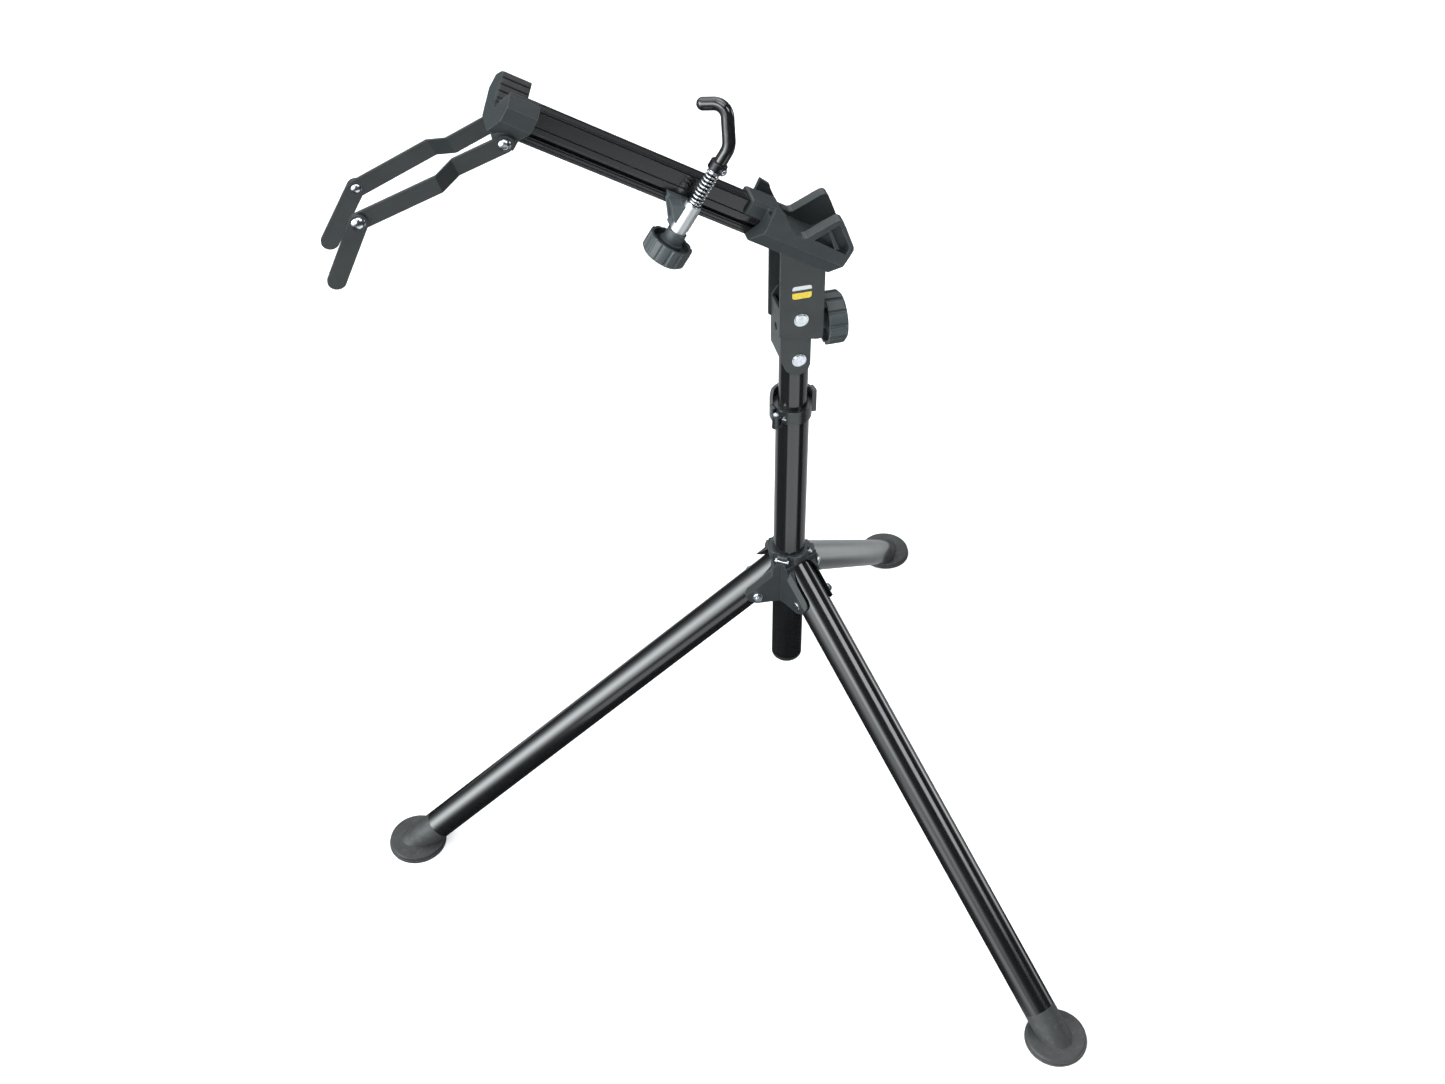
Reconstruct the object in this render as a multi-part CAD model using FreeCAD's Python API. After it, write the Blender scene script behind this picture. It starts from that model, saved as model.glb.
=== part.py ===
"""Folding bicycle repair stand: a three-legged stand with a telescoping mast,
a tilting support rail, a bottom-bracket cradle, a tube saddle with two folding
guide arms, and a sprung clamp hook on a slider.

Units are millimetres, +Z up.  The origin is on the floor under the mast axis.
-X points towards the saddle end of the rail, -Y is the side of the hook.

Two local frames are used:
  leg frame   X radial along the leg's azimuth, Z measured from the apex
  rail frame  u (X) along the rail, Y across it, n (Z) normal to it; the origin
              is where the rail's top plane meets the mast axis
"""
import FreeCAD, Part
import os
from math import cos, radians, sin, sqrt, tan

Vector = FreeCAD.Vector
X_AXIS, Y_AXIS, Z_AXIS = (1, 0, 0), (0, 1, 0), (0, 0, 1)
MINUS_Y = (0, -1, 0)

# ---------------------------------------------------------- driving dimensions
APEX = 450.0            # height where the three leg axes meet on the mast axis
LEG_TILT = 48.5         # leg axis from vertical, degrees
LEG_R = 19.7            # leg tube outer radius
LEG_BORE = 18.1
LEG_END = 634.0         # tube end, distance along the leg axis from the apex
LEG_AZIMUTH = {"a": 175.2, "b": 295.2, "c": 55.2}
LEG_MITRE = 23.0        # radial distance of the mitred top end from the mast axis

MAST_R = 19.0
MAST_BORE = 17.15
MAST_Z0 = APEX - 162.5
MAST_Z1 = APEX + 238.0
INNER_R = 16.5
INNER_BORE = 14.8
INNER_Z0 = 345.0
INNER_Z1 = APEX + 341.0

RAIL_TILT = 32.3        # saddle end up, degrees
RAIL_Z = APEX + 480.0   # height of the rail's top plane on the mast axis

PIVOT_Z = APEX + 367.0  # rail pivot bolt
LOWER_Z = APEX + 311.5  # lower bracket bolt
LOCK_Z = APEX + 347.0   # lock stud


# --------------------------------------------------------------------- helpers
def cylinder(radius, length, base=(0, 0, 0), axis=Z_AXIS):
    return Part.makeCylinder(radius, length, Vector(*base), Vector(*axis))


def tube(outer, inner, length, base=(0, 0, 0), axis=Z_AXIS):
    return cylinder(outer, length, base, axis).cut(cylinder(inner, length, base, axis))


def y_cylinder(radius, y0, y1, x, z):
    return cylinder(radius, y1 - y0, (x, y0, z), Y_AXIS)


def y_tube(outer, inner, y0, y1, x, z):
    return y_cylinder(outer, y0, y1, x, z).cut(y_cylinder(inner, -60, 60, x, z))


def box(x0, x1, y0, y1, z0, z1):
    return Part.makeBox(x1 - x0, y1 - y0, z1 - z0, Vector(x0, y0, z0))


def prism(corners, travel):
    return Part.Face(Part.makePolygon(corners + corners[:1])).extrude(travel)


def prism_x(outline, x0, x1):
    """Outline of (y, z) points, extruded along x."""
    return prism([Vector(x0, y, z) for y, z in outline], Vector(x1 - x0, 0, 0))


def prism_y(outline, y0, y1):
    """Outline of (x, z) points, extruded along y."""
    return prism([Vector(x, y0, z) for x, z in outline], Vector(0, y1 - y0, 0))


def prism_z(outline, z0, z1):
    """Outline of (x, y) points, extruded along z."""
    return prism([Vector(x, y, z0) for x, y in outline], Vector(0, 0, z1 - z0))


def mirrored(half):
    """Closes a half outline of (y, z) points with its mirror image in y = 0."""
    return half + [(-y, z) for y, z in reversed(half)]


def span(side, near, far):
    """Rising y range between two distances from the middle plane, on side -1 or +1."""
    return sorted((side * near, side * far))


def unit(direction):
    vector = Vector(*direction)
    vector.normalize()
    return vector


def hexagon(across_flats, height, base, axis):
    """Hexagonal prism from base along axis."""
    corner_r = across_flats / sqrt(3.0)
    z = unit(axis)
    x = Vector(0, 0, 1) if abs(z.z) < 0.9 else Vector(1, 0, 0)
    x = unit(x - z * x.dot(z))
    y = z.cross(x)
    corners = [Vector(*base) + x * (corner_r * cos(radians(60 * i)))
               + y * (corner_r * sin(radians(60 * i))) for i in range(6)]
    return prism(corners, z * height)


def fuse(*shapes):
    result = shapes[0]
    for shape in shapes[1:]:
        result = result.fuse(shape)
    return result.removeSplitter()


def largest(shape):
    return max(shape.Solids, key=lambda solid: solid.Volume)


def dome_head(radius, height, seat, axis):
    """Round screw head from its seat outwards along axis, with a hex socket."""
    z = unit(axis)
    seat = Vector(*seat)
    rim_h = height * 0.25
    cap_h = height * 0.75
    ball_r = (radius * radius + cap_h ** 2) / (2 * cap_h)
    ball = Part.makeSphere(ball_r, seat + z * (rim_h + cap_h - ball_r))
    cap = ball.common(cylinder(radius, cap_h, seat + z * rim_h, z))
    socket = hexagon(radius * 0.75, height * 0.5, seat + z * (height * 0.5), axis)
    return cylinder(radius, rim_h, seat, axis).fuse(cap).cut(socket).removeSplitter()


def rivet_head(radius, height, seat, axis):
    """Plain spherical cap on its seat."""
    z = unit(axis)
    seat = Vector(*seat)
    ball_r = (radius * radius + height * height) / (2 * height)
    ball = Part.makeSphere(ball_r, seat + z * (height - ball_r))
    return ball.common(cylinder(radius + 1, height + 1, seat, z))


def treat_edges(shape, method, size, pick):
    """Fillets or chamfers the picked edges; the shape stays as it is if that fails."""
    edges = [edge for edge in shape.Edges if pick(edge)]
    if not edges:
        return shape
    # guards against edges the kernel cannot fillet or chamfer
    try:
        result = getattr(shape, method)(size, edges)
        if result.isValid() and len(result.Solids) == len(shape.Solids) and result.Volume > 0:
            return result
    except Exception:
        pass
    return shape


def fillet(shape, radius, pick):
    return treat_edges(shape, "makeFillet", radius, pick)


def chamfer(shape, size, pick):
    return treat_edges(shape, "makeChamfer", size, pick)


def is_circle(edge):
    return isinstance(edge.Curve, Part.Circle)


def placed(shape, height, axis, angle):
    """Copy turned about an axis through the origin, then raised."""
    copy = shape.copy()
    move = FreeCAD.Placement(Vector(0, 0, height), FreeCAD.Rotation(Vector(*axis), angle))
    copy.Placement = move.multiply(copy.Placement)
    return copy


def turned(shape, angle):
    return placed(shape, 0, Z_AXIS, angle)


def to_rail(shape):
    """From the rail frame to the model frame."""
    return placed(shape, RAIL_Z, Y_AXIS, RAIL_TILT)


def to_leg(shape, leg):
    """From the leg frame to the model frame."""
    return placed(shape, APEX, Z_AXIS, LEG_AZIMUTH[leg])


def write(name, *shapes):
    """One STEP file; several shapes go into it as a compound."""
    shape = shapes[0] if len(shapes) == 1 else Part.makeCompound(list(shapes))
    shape.exportStep("parts/%s.step" % name)


# ------------------------------------------------------------- outer mast tube
def outer_mast_tube():
    mast = tube(MAST_R, MAST_BORE, MAST_Z1 - MAST_Z0, (0, 0, MAST_Z0))
    return chamfer(mast, 0.4, lambda e: is_circle(e) and abs(e.BoundBox.ZMin - MAST_Z1) < 1e-6)


def mast_bottom_cap():
    rim_h = 8
    cap = cylinder(MAST_R, rim_h, (0, 0, MAST_Z0 - rim_h))
    cap = fillet(cap, 6.0, lambda e: is_circle(e) and e.BoundBox.ZMax < MAST_Z0 - rim_h + 0.1)
    cap = fuse(cap, cylinder(MAST_BORE, 15, (0, 0, MAST_Z0)))
    return cap.cut(cylinder(13.5, 17, (0, 0, MAST_Z0 - 1.5)))


# ------------------------------------------------------------- hub (leg frame)
LEG_SIN, LEG_COS = sin(radians(LEG_TILT)), cos(radians(LEG_TILT))
LEG_DIR = Vector(LEG_SIN, 0, -LEG_COS)


def on_leg(along, above=0.0):
    """(radial, z) of a point along the leg axis and above it."""
    return (LEG_SIN * along + LEG_COS * above, -LEG_COS * along + LEG_SIN * above)


def leg_cylinder(radius, start, end):
    x, z = on_leg(start)
    return cylinder(radius, end - start, (x, 0, z), LEG_DIR)


def mitre_keep(clearance=0.0):
    """Everything outside the mitre plane at the top of a leg."""
    return box(LEG_MITRE - clearance, 700, -60, 60, -500, 100)


LEG_PIVOT = on_leg(57.0)
LEG_PIVOT_R = 3.0
HUB_TOP = 20.0
HUB_BOT = -49.0
HUB_R = 25.2
SLOT_HALF = 20.2        # half width of the leg slot
CHEEK_HALF = 24.4       # half width over the cheeks
SLOT_X = 20.8           # radial start of the leg slot
ARCH_Z = -17.0          # springing line of the arch over the slot
ARCH_RISE = 27.0
CHEEK_ABOVE = 18.4      # cheek top edge above the leg axis
CHEEK_X = 55.5          # radial end of that edge
# heights of the +Y and -Y cheek above each leg's axis
CHEEK_HEIGHTS = {"a": (18.6, 6.5), "b": (13.0, 18.6), "c": (8.0, 8.0)}

# clamp screws between neighbouring segments: +X in the split plane, Y across it
CLAMP_X, CLAMP_Z = 23.6, 12.4
CLAMP_R = 1.9
CLAMP_HEAD_Y = -6.6
CLAMP_HEAD_END = -9.0
CLAMP_NUT_Y = 5.6


def cheek_top(x):
    return on_leg((x - LEG_COS * CHEEK_ABOVE) / LEG_SIN, CHEEK_ABOVE)


def clamp_pocket(y0, y1):
    return box(CLAMP_X - 3.6, CLAMP_X + 12, y0, y1, CLAMP_Z - 3.6, CLAMP_Z + 12)


def hub_segment():
    """One third of the hub, before its cheeks are trimmed to height."""
    wedge_y = 80 * tan(radians(60)) - 0.15 / cos(radians(60))
    wedge = prism_z([(0, 0), (80, -wedge_y), (80, wedge_y)], -60, 30)
    ring = cylinder(HUB_R, HUB_TOP - HUB_BOT, (0, 0, HUB_BOT))
    ring = chamfer(ring, 1.6, lambda e: is_circle(e) and e.BoundBox.ZMin > HUB_TOP - 0.1)
    # (radial, z) side view of the cheeks
    cheek_outline = [(0, HUB_BOT), (0, 12.0), (22.0, 12.0), cheek_top(HUB_R), cheek_top(CHEEK_X),
                     (58.5, -30.5), (57.0, -37.0), (52.5, -44.5), (45.0, HUB_BOT)]
    cheeks = prism_y(cheek_outline, -CHEEK_HALF, CHEEK_HALF)
    cheeks = fillet(cheeks, 1.2, lambda e: e.BoundBox.XMin > 23 and e.BoundBox.YLength < 0.01
                    and abs(abs(e.BoundBox.YMin) - CHEEK_HALF) < 0.01)
    segment = ring.fuse(cheeks).common(wedge)
    segment = segment.cut(cylinder(MAST_R, 100, (0, 0, -60)))

    # leg slot with an elliptical arch over it
    arch = Part.Face(Part.Wire([Part.Ellipse(Vector(0, 0, 0), ARCH_RISE, SLOT_HALF).toShape()]))
    arch.Placement = FreeCAD.Placement(Vector(SLOT_X, 0, ARCH_Z),
                                       FreeCAD.Rotation(Vector(0, 1, 0), -90))
    slot = box(SLOT_X, 90, -SLOT_HALF, SLOT_HALF, -70, ARCH_Z)
    segment = segment.cut(arch.extrude(Vector(60, 0, 0))).cut(slot).removeSplitter()
    segment = segment.cut(y_cylinder(LEG_PIVOT_R, -40, 40, *LEG_PIVOT))

    head_room = fuse(y_cylinder(CLAMP_R, -9, 9, CLAMP_X, CLAMP_Z),
                     clamp_pocket(-14.0, CLAMP_HEAD_Y))
    nut_room = clamp_pocket(CLAMP_NUT_Y, 14.0)
    for angle in (60, -60):
        segment = segment.cut(turned(head_room, angle)).cut(turned(nut_room, angle))
    segment = segment.removeSplitter()

    # fold room: the tube top sweeps outwards as the leg folds
    for angle in range(12, 46, 3):
        swing = leg_cylinder(LEG_R + 0.30, -20, 110).common(mitre_keep(0.3))
        swing.rotate(Vector(LEG_PIVOT[0], 0, LEG_PIVOT[1]), Vector(0, 1, 0), angle)
        segment = segment.cut(swing)
    return segment.removeSplitter()


def cheek_trim(side, height):
    """Cutter leaving one cheek at a height above the leg axis, with a wide outer chamfer."""
    drop = height - 7.0
    # (y, height above the leg axis)
    section = [(SLOT_HALF - 0.6, height), (SLOT_HALF + 0.4, height), (CHEEK_HALF, drop),
               (40.0, drop), (40.0, 70.0), (SLOT_HALF - 0.6, 70.0)]
    corners = [Vector(LEG_COS * above, side * y, LEG_SIN * above) for y, above in section]
    cutter = prism(corners, LEG_DIR * 120)
    return cutter.common(box(HUB_R + 0.05, 120, -60, 60, -120, 120))


def trimmed_segment(segment, leg):
    plus_y, minus_y = CHEEK_HEIGHTS[leg]
    trimmed = segment.cut(cheek_trim(1, plus_y)).cut(cheek_trim(-1, minus_y))
    return to_leg(largest(trimmed.removeSplitter()), leg)


def hub_clamp_screw():
    shank = y_cylinder(CLAMP_R, CLAMP_HEAD_Y, 8.0, CLAMP_X, CLAMP_Z)
    head = y_cylinder(3.3, CLAMP_HEAD_END, CLAMP_HEAD_Y, CLAMP_X, CLAMP_Z)
    socket = hexagon(2.6, 1.5, (CLAMP_X, CLAMP_HEAD_END, CLAMP_Z), Y_AXIS)
    return turned(fuse(shank, head).cut(socket), 60)


def hub_clamp_nut():
    nut = hexagon(6.0, 2.4, (CLAMP_X, CLAMP_NUT_Y, CLAMP_Z), Y_AXIS)
    return turned(nut.cut(y_cylinder(CLAMP_R, 0, 10, CLAMP_X, CLAMP_Z)), 60)


# ---------------------------------------------------- leg pivots (leg frame)
PIVOT_SEAT = CHEEK_HALF + 1.0       # outer face of the 1 mm washers


def leg_pivot_bolt():
    bolt = y_cylinder(LEG_PIVOT_R, -PIVOT_SEAT, CHEEK_HALF + 6.0, *LEG_PIVOT)
    head = dome_head(5.2, 3.6, (LEG_PIVOT[0], -PIVOT_SEAT, LEG_PIVOT[1]), MINUS_Y)
    return bolt.fuse(head).removeSplitter()


def leg_pivot_washer(side):
    return y_tube(6.0, LEG_PIVOT_R, *span(side, CHEEK_HALF, PIVOT_SEAT), *LEG_PIVOT)


def leg_pivot_nut():
    """Hexagon with a round locking collar."""
    hex_h = 3.6
    nut = hexagon(9.0, hex_h, (LEG_PIVOT[0], PIVOT_SEAT, LEG_PIVOT[1]), Y_AXIS)
    collar_y = PIVOT_SEAT + hex_h
    nut = nut.fuse(y_cylinder(4.2, collar_y, collar_y + 1.0, *LEG_PIVOT))
    return nut.cut(y_cylinder(LEG_PIVOT_R, -40, 40, *LEG_PIVOT)).removeSplitter()


# ------------------------------------------------------------ legs (leg frame)
LEG_TOP = -20           # uncut top end along the leg axis
FOOT_R = 37.0
FOOT_H = 9.0
FLOOR = -APEX


def pivot_hole():
    return y_cylinder(LEG_PIVOT_R + 0.06, -40, 40, *LEG_PIVOT)


def leg_tube():
    leg = leg_cylinder(LEG_R, LEG_TOP, LEG_END)
    leg = leg.cut(leg_cylinder(LEG_BORE, LEG_TOP - 1, LEG_END + 1)).common(mitre_keep())
    return leg.cut(pivot_hole())


def leg_top_plug():
    plug = leg_cylinder(LEG_BORE, LEG_TOP, 104)
    return plug.cut(leg_cylinder(13.0, 84, 110)).common(mitre_keep()).cut(pivot_hole())


def leg_foot():
    """Round pad with a thin lip, the boot up to the tube end and a spigot in the tube."""
    foot_x = on_leg(APEX / LEG_COS)[0] - 1.5
    center = (foot_x, 0, FLOOR)
    pad = cylinder(FOOT_R, FOOT_H, center)
    pad = fillet(pad, 3.0, lambda e: is_circle(e) and e.BoundBox.ZMin > FLOOR + FOOT_H - 0.1)
    lip = tube(FOOT_R + 1.2, FOOT_R - 2.0, 3.2, center)
    lip = fillet(lip, 1.0, lambda e: is_circle(e) and e.BoundBox.ZMin > FLOOR + 3.1
                 and e.Curve.Radius > FOOT_R)
    boot = leg_cylinder(LEG_R, LEG_END, 700)
    boot = boot.common(box(300, foot_x + FOOT_R - 4, -40, 40, FLOOR, -300))
    spigot = leg_cylinder(LEG_BORE, LEG_END - 40, LEG_END + 1)
    spigot = spigot.cut(leg_cylinder(14.0, LEG_END - 41, LEG_END - 6))
    return pad.fuse(lip).fuse(boot).fuse(spigot).removeSplitter()


# ------------------------------------------------------------ collar and lever
# drawn with the lever pin on +X, then turned to PIN_AZIMUTH
COLLAR_H = 15.0
COLLAR_Z0 = MAST_Z1 - COLLAR_H
COLLAR_R = 21.6
COLLAR_BORE = INNER_R + 0.12    # running fit on the inner mast tube
PIN_AZIMUTH = 209.5
PIN_X = 26.4
PIN_R = 2.0
EAR_Z = COLLAR_Z0 - 5.0         # the hinge ear hangs a little below the collar
EAR_H = 17.0
EAR_R = 4.6
SCREW_AZIMUTH = 229.8
SCREW_Z = COLLAR_Z0 + COLLAR_H / 2
SCREW_R = 1.6
EYE_Z0 = EAR_Z + 3.5
EYE_Z1 = EAR_Z + 13.5
LEVER_R0, LEVER_R1 = 22.3, 26.0
LEVER_Z0 = COLLAR_Z0 - 1.0
LEVER_END = -214.0              # end of the band, degrees from the pin
LEVER_TALL = 28.0               # full height of the band


def sector(outer, inner, height, z0, start, end, steps):
    """Part of a tube between two angles in degrees."""
    fan = [(0, 0)]
    for i in range(steps + 1):
        angle = radians(start + (end - start) * i / steps)
        fan.append((60 * cos(angle), 60 * sin(angle)))
    ring = tube(outer, inner, height, (0, 0, z0))
    return ring.common(prism_z(fan, COLLAR_Z0 - 20, COLLAR_Z0 + 60))


def mast_collar():
    collar = tube(COLLAR_R, MAST_R, COLLAR_H, (0, 0, COLLAR_Z0))
    collar = collar.fuse(tube(COLLAR_R, COLLAR_BORE, 2.0, (0, 0, MAST_Z1)))
    ear = fuse(cylinder(EAR_R, EAR_H, (PIN_X, 0, EAR_Z)),
               box(18.0, PIN_X, -EAR_R, EAR_R, EAR_Z, EAR_Z + EAR_H))
    ear = ear.cut(cylinder(20.0, 30, (0, 0, EAR_Z - 5)))
    ear = ear.cut(box(21.7, 40, -12, 12, EYE_Z0 - 0.1, EYE_Z1 + 0.1))
    ear = ear.cut(cylinder(PIN_R, 40, (PIN_X, 0, EAR_Z - 5)))
    collar = collar.fuse(turned(ear, PIN_AZIMUTH))
    collar = collar.cut(cylinder(MAST_R, COLLAR_H, (0, 0, COLLAR_Z0)))
    collar = collar.cut(cylinder(COLLAR_BORE, 60, (0, 0, COLLAR_Z0))).removeSplitter()
    screw_hole = cylinder(SCREW_R, 5.0, (18.5, 0, SCREW_Z), X_AXIS)
    collar = collar.cut(turned(screw_hole, SCREW_AZIMUTH))
    # relief under the end of the lever, which swings inwards as it opens
    relief = sector(24.0, 20.0, COLLAR_H + 4.0, LEVER_Z0, -148, -218, 8)
    return collar.cut(turned(relief, PIN_AZIMUTH))


def collar_screw():
    screw = fuse(cylinder(SCREW_R, 2.9, (MAST_R, 0, SCREW_Z), X_AXIS),
                 cylinder(2.6, 1.3, (COLLAR_R + 0.02, 0, SCREW_Z), X_AXIS))
    driver_slot = box(22.3, 24, -3, 3, SCREW_Z - 0.35, SCREW_Z + 0.35)
    return turned(screw.cut(driver_slot), SCREW_AZIMUTH)


def collar_pin():
    pin = fuse(cylinder(PIN_R, EAR_H, (PIN_X, 0, EAR_Z)),
               cylinder(3.2, 1.0, (PIN_X, 0, EAR_Z + EAR_H)),
               cylinder(3.2, 1.0, (PIN_X, 0, EAR_Z - 1.0)))
    return turned(pin, PIN_AZIMUTH)


def lever_ramp():
    """Cutter that slopes the start of the tall band, 50 degrees clockwise of the pin."""
    outward = Vector(cos(radians(50)), -sin(radians(50)), 0)
    clockwise = Vector(-sin(radians(50)), -cos(radians(50)), 0)
    # (distance clockwise, height above the collar's lower face)
    outline = [(-16.0, 16.0), (-7.0, 16.0), (7.0, LEVER_TALL - 1.0),
               (7.0, LEVER_TALL + 4.0), (-16.0, LEVER_TALL + 4.0)]
    corners = [outward * 18.0 + clockwise * along + Vector(0, 0, COLLAR_Z0 + height)
               for along, height in outline]
    return prism(corners, outward * 14.0)


def collar_lever():
    """An eye on the pin, then a band that follows the collar and rises to full height."""
    eye_h = EYE_Z1 - EYE_Z0
    eye = cylinder(4.4, eye_h, (PIN_X, 0, EYE_Z0))
    neck = sector(LEVER_R1, LEVER_R0, eye_h, EYE_Z0, 0, -19, 1)
    band = sector(LEVER_R1, LEVER_R0, 17.0, LEVER_Z0, -14, LEVER_END, 24)
    high = sector(LEVER_R1, LEVER_R0, LEVER_TALL, LEVER_Z0, -34, LEVER_END, 24)
    band = band.fuse(high.cut(lever_ramp()))
    end_tab = sector(LEVER_R1 + 1.4, LEVER_R0 + 0.6, LEVER_TALL + 1.2, LEVER_Z0,
                     LEVER_END + 26, LEVER_END, 6)
    lever = eye.fuse(neck).fuse(band).fuse(end_tab).removeSplitter()
    lever = lever.cut(cylinder(PIN_R + 0.05, 60, (PIN_X, 0, COLLAR_Z0 - 20)))
    lever = lever.cut(cylinder(LEVER_R0 - 0.2, 60, (0, 0, COLLAR_Z0 - 20))).removeSplitter()
    # clearance round the fixed ear at both ends of the eye
    ear_room = fuse(cylinder(5.4, 5.5, (PIN_X, 0, EAR_Z - 2.0)),
                    cylinder(5.4, 6.0, (PIN_X, 0, EYE_Z1)))
    return turned(largest(lever.cut(ear_room)), PIN_AZIMUTH)


# ------------------------------------------------------------- sliding members
BOLT_R = 4.0            # both bracket bolts


def cross_hole(z):
    return y_cylinder(BOLT_R, -40, 40, 0, z)


def guide_bush():
    rim_h = 12.0
    bush = fuse(cylinder(17.1, rim_h, (0, 0, INNER_Z0 - rim_h)),
                cylinder(INNER_BORE - 0.06, 26.0, (0, 0, INNER_Z0)))
    bush = bush.cut(cylinder(11.0, 60, (0, 0, INNER_Z0 - 20)))
    return chamfer(bush, 1.0, lambda e: is_circle(e) and e.Curve.Radius > 17
                   and e.BoundBox.ZMax < INNER_Z0 - rim_h + 0.1)


def inner_mast_tube():
    inner = tube(INNER_R, INNER_BORE, INNER_Z1 - INNER_Z0, (0, 0, INNER_Z0))
    return inner.cut(cross_hole(LOWER_Z))


def mast_head_plug():
    depth = 46
    head = box(-16.0, 16.0, -16.0, 16.0, INNER_Z1, INNER_Z1 + 14.0)
    plug = fuse(cylinder(INNER_BORE, depth, (0, 0, INNER_Z1 - depth)),
                head.common(cylinder(18.5, 20, (0, 0, INNER_Z1))))
    return plug.cut(cross_hole(LOWER_Z)).removeSplitter()


# -------------------------------------------------------------------- brackets
LOWER_OUT, LOWER_IN = 19.4, 16.55       # y faces of the lower bracket's flanges
PLATE_T = 3.0                           # rail bracket plate
UPPER_IN = 20.0                         # y faces of the rail bracket's flanges
UPPER_OUT = UPPER_IN + PLATE_T
UPPER_X0, UPPER_X1 = -23.5, 25.0
RAIL_BOT = -34.5                        # underside of the rail, n
PLATE_N = RAIL_BOT - PLATE_T            # underside of the plate below the rail, n
CRADLE_BOLT_U = (2.0, 40.0)
CRADLE_BOLT_R = 3.0
# (height, y of the seats, shank past the nut's seat)
BRACKET_BOLTS = [(LOWER_Z, LOWER_OUT + 1.2, 7.3), (PIVOT_Z, UPPER_OUT + 1.3, 7.7)]
# (height, inner y, outer y), one washer on each side
BRACKET_WASHERS = [
    (LOWER_Z, LOWER_OUT, LOWER_OUT + 1.2),
    (PIVOT_Z, UPPER_OUT + 0.05, UPPER_OUT + 1.3),
    (PIVOT_Z, LOWER_OUT, UPPER_IN - 0.05),
]
# side view of the lower bracket's flanges: (x, z above the apex)
LOWER_OUTLINE = [
    (-21.0, 377.0), (-15.0, 386.0), (-4.0, 391.0), (4.5, 387.8), (12.2, 380.0),
    (13.0, 370.0), (13.0, 304.0), (10.5, 297.0), (5.5, 292.5), (-1.0, 290.8),
    (-8.0, 292.5), (-14.5, 299.0), (-21.0, 315.0),
]


def lower_bracket():
    """Two flanges joined by a web on the saddle side."""
    outline = [(x, z + APEX) for x, z in LOWER_OUTLINE]
    bracket = prism_y(outline, -LOWER_OUT, -LOWER_IN).fuse(prism_y(outline, LOWER_IN, LOWER_OUT))
    web = box(-21.0, -18.2, -LOWER_OUT, LOWER_OUT, APEX + 315.5, APEX + 376.5)
    bracket = bracket.fuse(web).removeSplitter()
    bracket = bracket.cut(cylinder(4.6, 10, (-26, 0, LOCK_Z), X_AXIS))
    return bracket.cut(cross_hole(LOWER_Z)).cut(cross_hole(PIVOT_Z))


def on_plane(x, normal):
    """(x, z) on the plane n = normal of the rail frame."""
    tilt = radians(RAIL_TILT)
    return (x, RAIL_Z + (normal - x * sin(tilt)) / cos(tilt))


def rail_bracket():
    """Two flanges, a web on the +X side and a plate under the rail."""
    top = PLATE_N + 1.0
    outline = [on_plane(UPPER_X0, top), (UPPER_X0, APEX + 349.0), (-20.5, APEX + 346.5),
               (18.0, APEX + 338.5), (22.5, APEX + 338.5), (UPPER_X1, APEX + 342.0),
               on_plane(UPPER_X1, top)]
    bracket = prism_y(outline, -UPPER_OUT, -UPPER_IN).fuse(prism_y(outline, UPPER_IN, UPPER_OUT))
    web_x = UPPER_X1 - PLATE_T
    web = prism_y([(web_x, APEX + 342.5), (UPPER_X1, APEX + 342.5),
                   on_plane(UPPER_X1, top), on_plane(web_x, top)], -UPPER_OUT, UPPER_OUT)
    plate = prism_y([on_plane(UPPER_X0, PLATE_N), on_plane(UPPER_X1, PLATE_N),
                     on_plane(UPPER_X1, RAIL_BOT), on_plane(UPPER_X0, RAIL_BOT)],
                    -UPPER_OUT, UPPER_OUT)
    bracket = bracket.fuse(web).fuse(plate).removeSplitter()
    bracket = bracket.cut(y_cylinder(BOLT_R + 0.06, -40, 40, 0, PIVOT_Z))
    bracket = bracket.cut(cylinder(5.0, 20, (15, 0, LOCK_Z), X_AXIS))
    for u in CRADLE_BOLT_U:
        bracket = bracket.cut(to_rail(cylinder(CRADLE_BOLT_R, 10, (u, 0, -42))))
    return bracket.removeSplitter()


def bracket_bolt(z, seat, tail):
    return fuse(y_cylinder(BOLT_R, -seat, seat + tail, 0, z),
                dome_head(6.8, 4.6, (0, -seat, z), MINUS_Y))


def bracket_nut(z, seat):
    return hexagon(13.0, 6.4, (0, seat, z), Y_AXIS).cut(y_cylinder(BOLT_R, 0, 60, 0, z))


def bracket_washers():
    return [y_tube(8.0, BOLT_R, *span(side, near, far), 0, z)
            for z, near, far in BRACKET_WASHERS for side in (-1, 1)]


def pivot_spacer():
    """Tube round the pivot bolt, between the lower bracket's flanges."""
    return y_tube(6.5, BOLT_R, -LOWER_IN, LOWER_IN, 0, PIVOT_Z)


# --------------------------------------------------- rail extrusion (rail frame)
RAIL_HW = 12.5          # half width at the shoulder and the foot
RAIL_HU = 11.0          # half width of the upper box
RAIL_NECK = RAIL_HU + 0.2
RAIL_U0 = -307.0
RAIL_U1 = 52.0
RAIL_FLOOR = -31.8      # floor of the hollow
NOTCH_U = -18.0         # the top of the extrusion is milled away past here
NOTCH_N = -14.0
# -Y half of the section, top to bottom: (y, n)
RAIL_HALF = [
    (-RAIL_HU + 2.0, 0), (-RAIL_HU, -1.2), (-RAIL_HU, -14.6), (-RAIL_HW, -15.6),
    (-RAIL_HW, -20.6), (-RAIL_NECK, -21.2), (-RAIL_NECK, -22.4), (-7.0, -22.4),
    (-7.0, -26.6), (-RAIL_NECK, -26.6), (-RAIL_NECK, -27.6), (-RAIL_HW, -28.4),
    (-RAIL_HW, -29.8), (-RAIL_HW + 0.9, -30.4), (-RAIL_HW + 0.9, -31.2),
    (-RAIL_HW, -31.8), (-RAIL_HW, RAIL_BOT),
]
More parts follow.
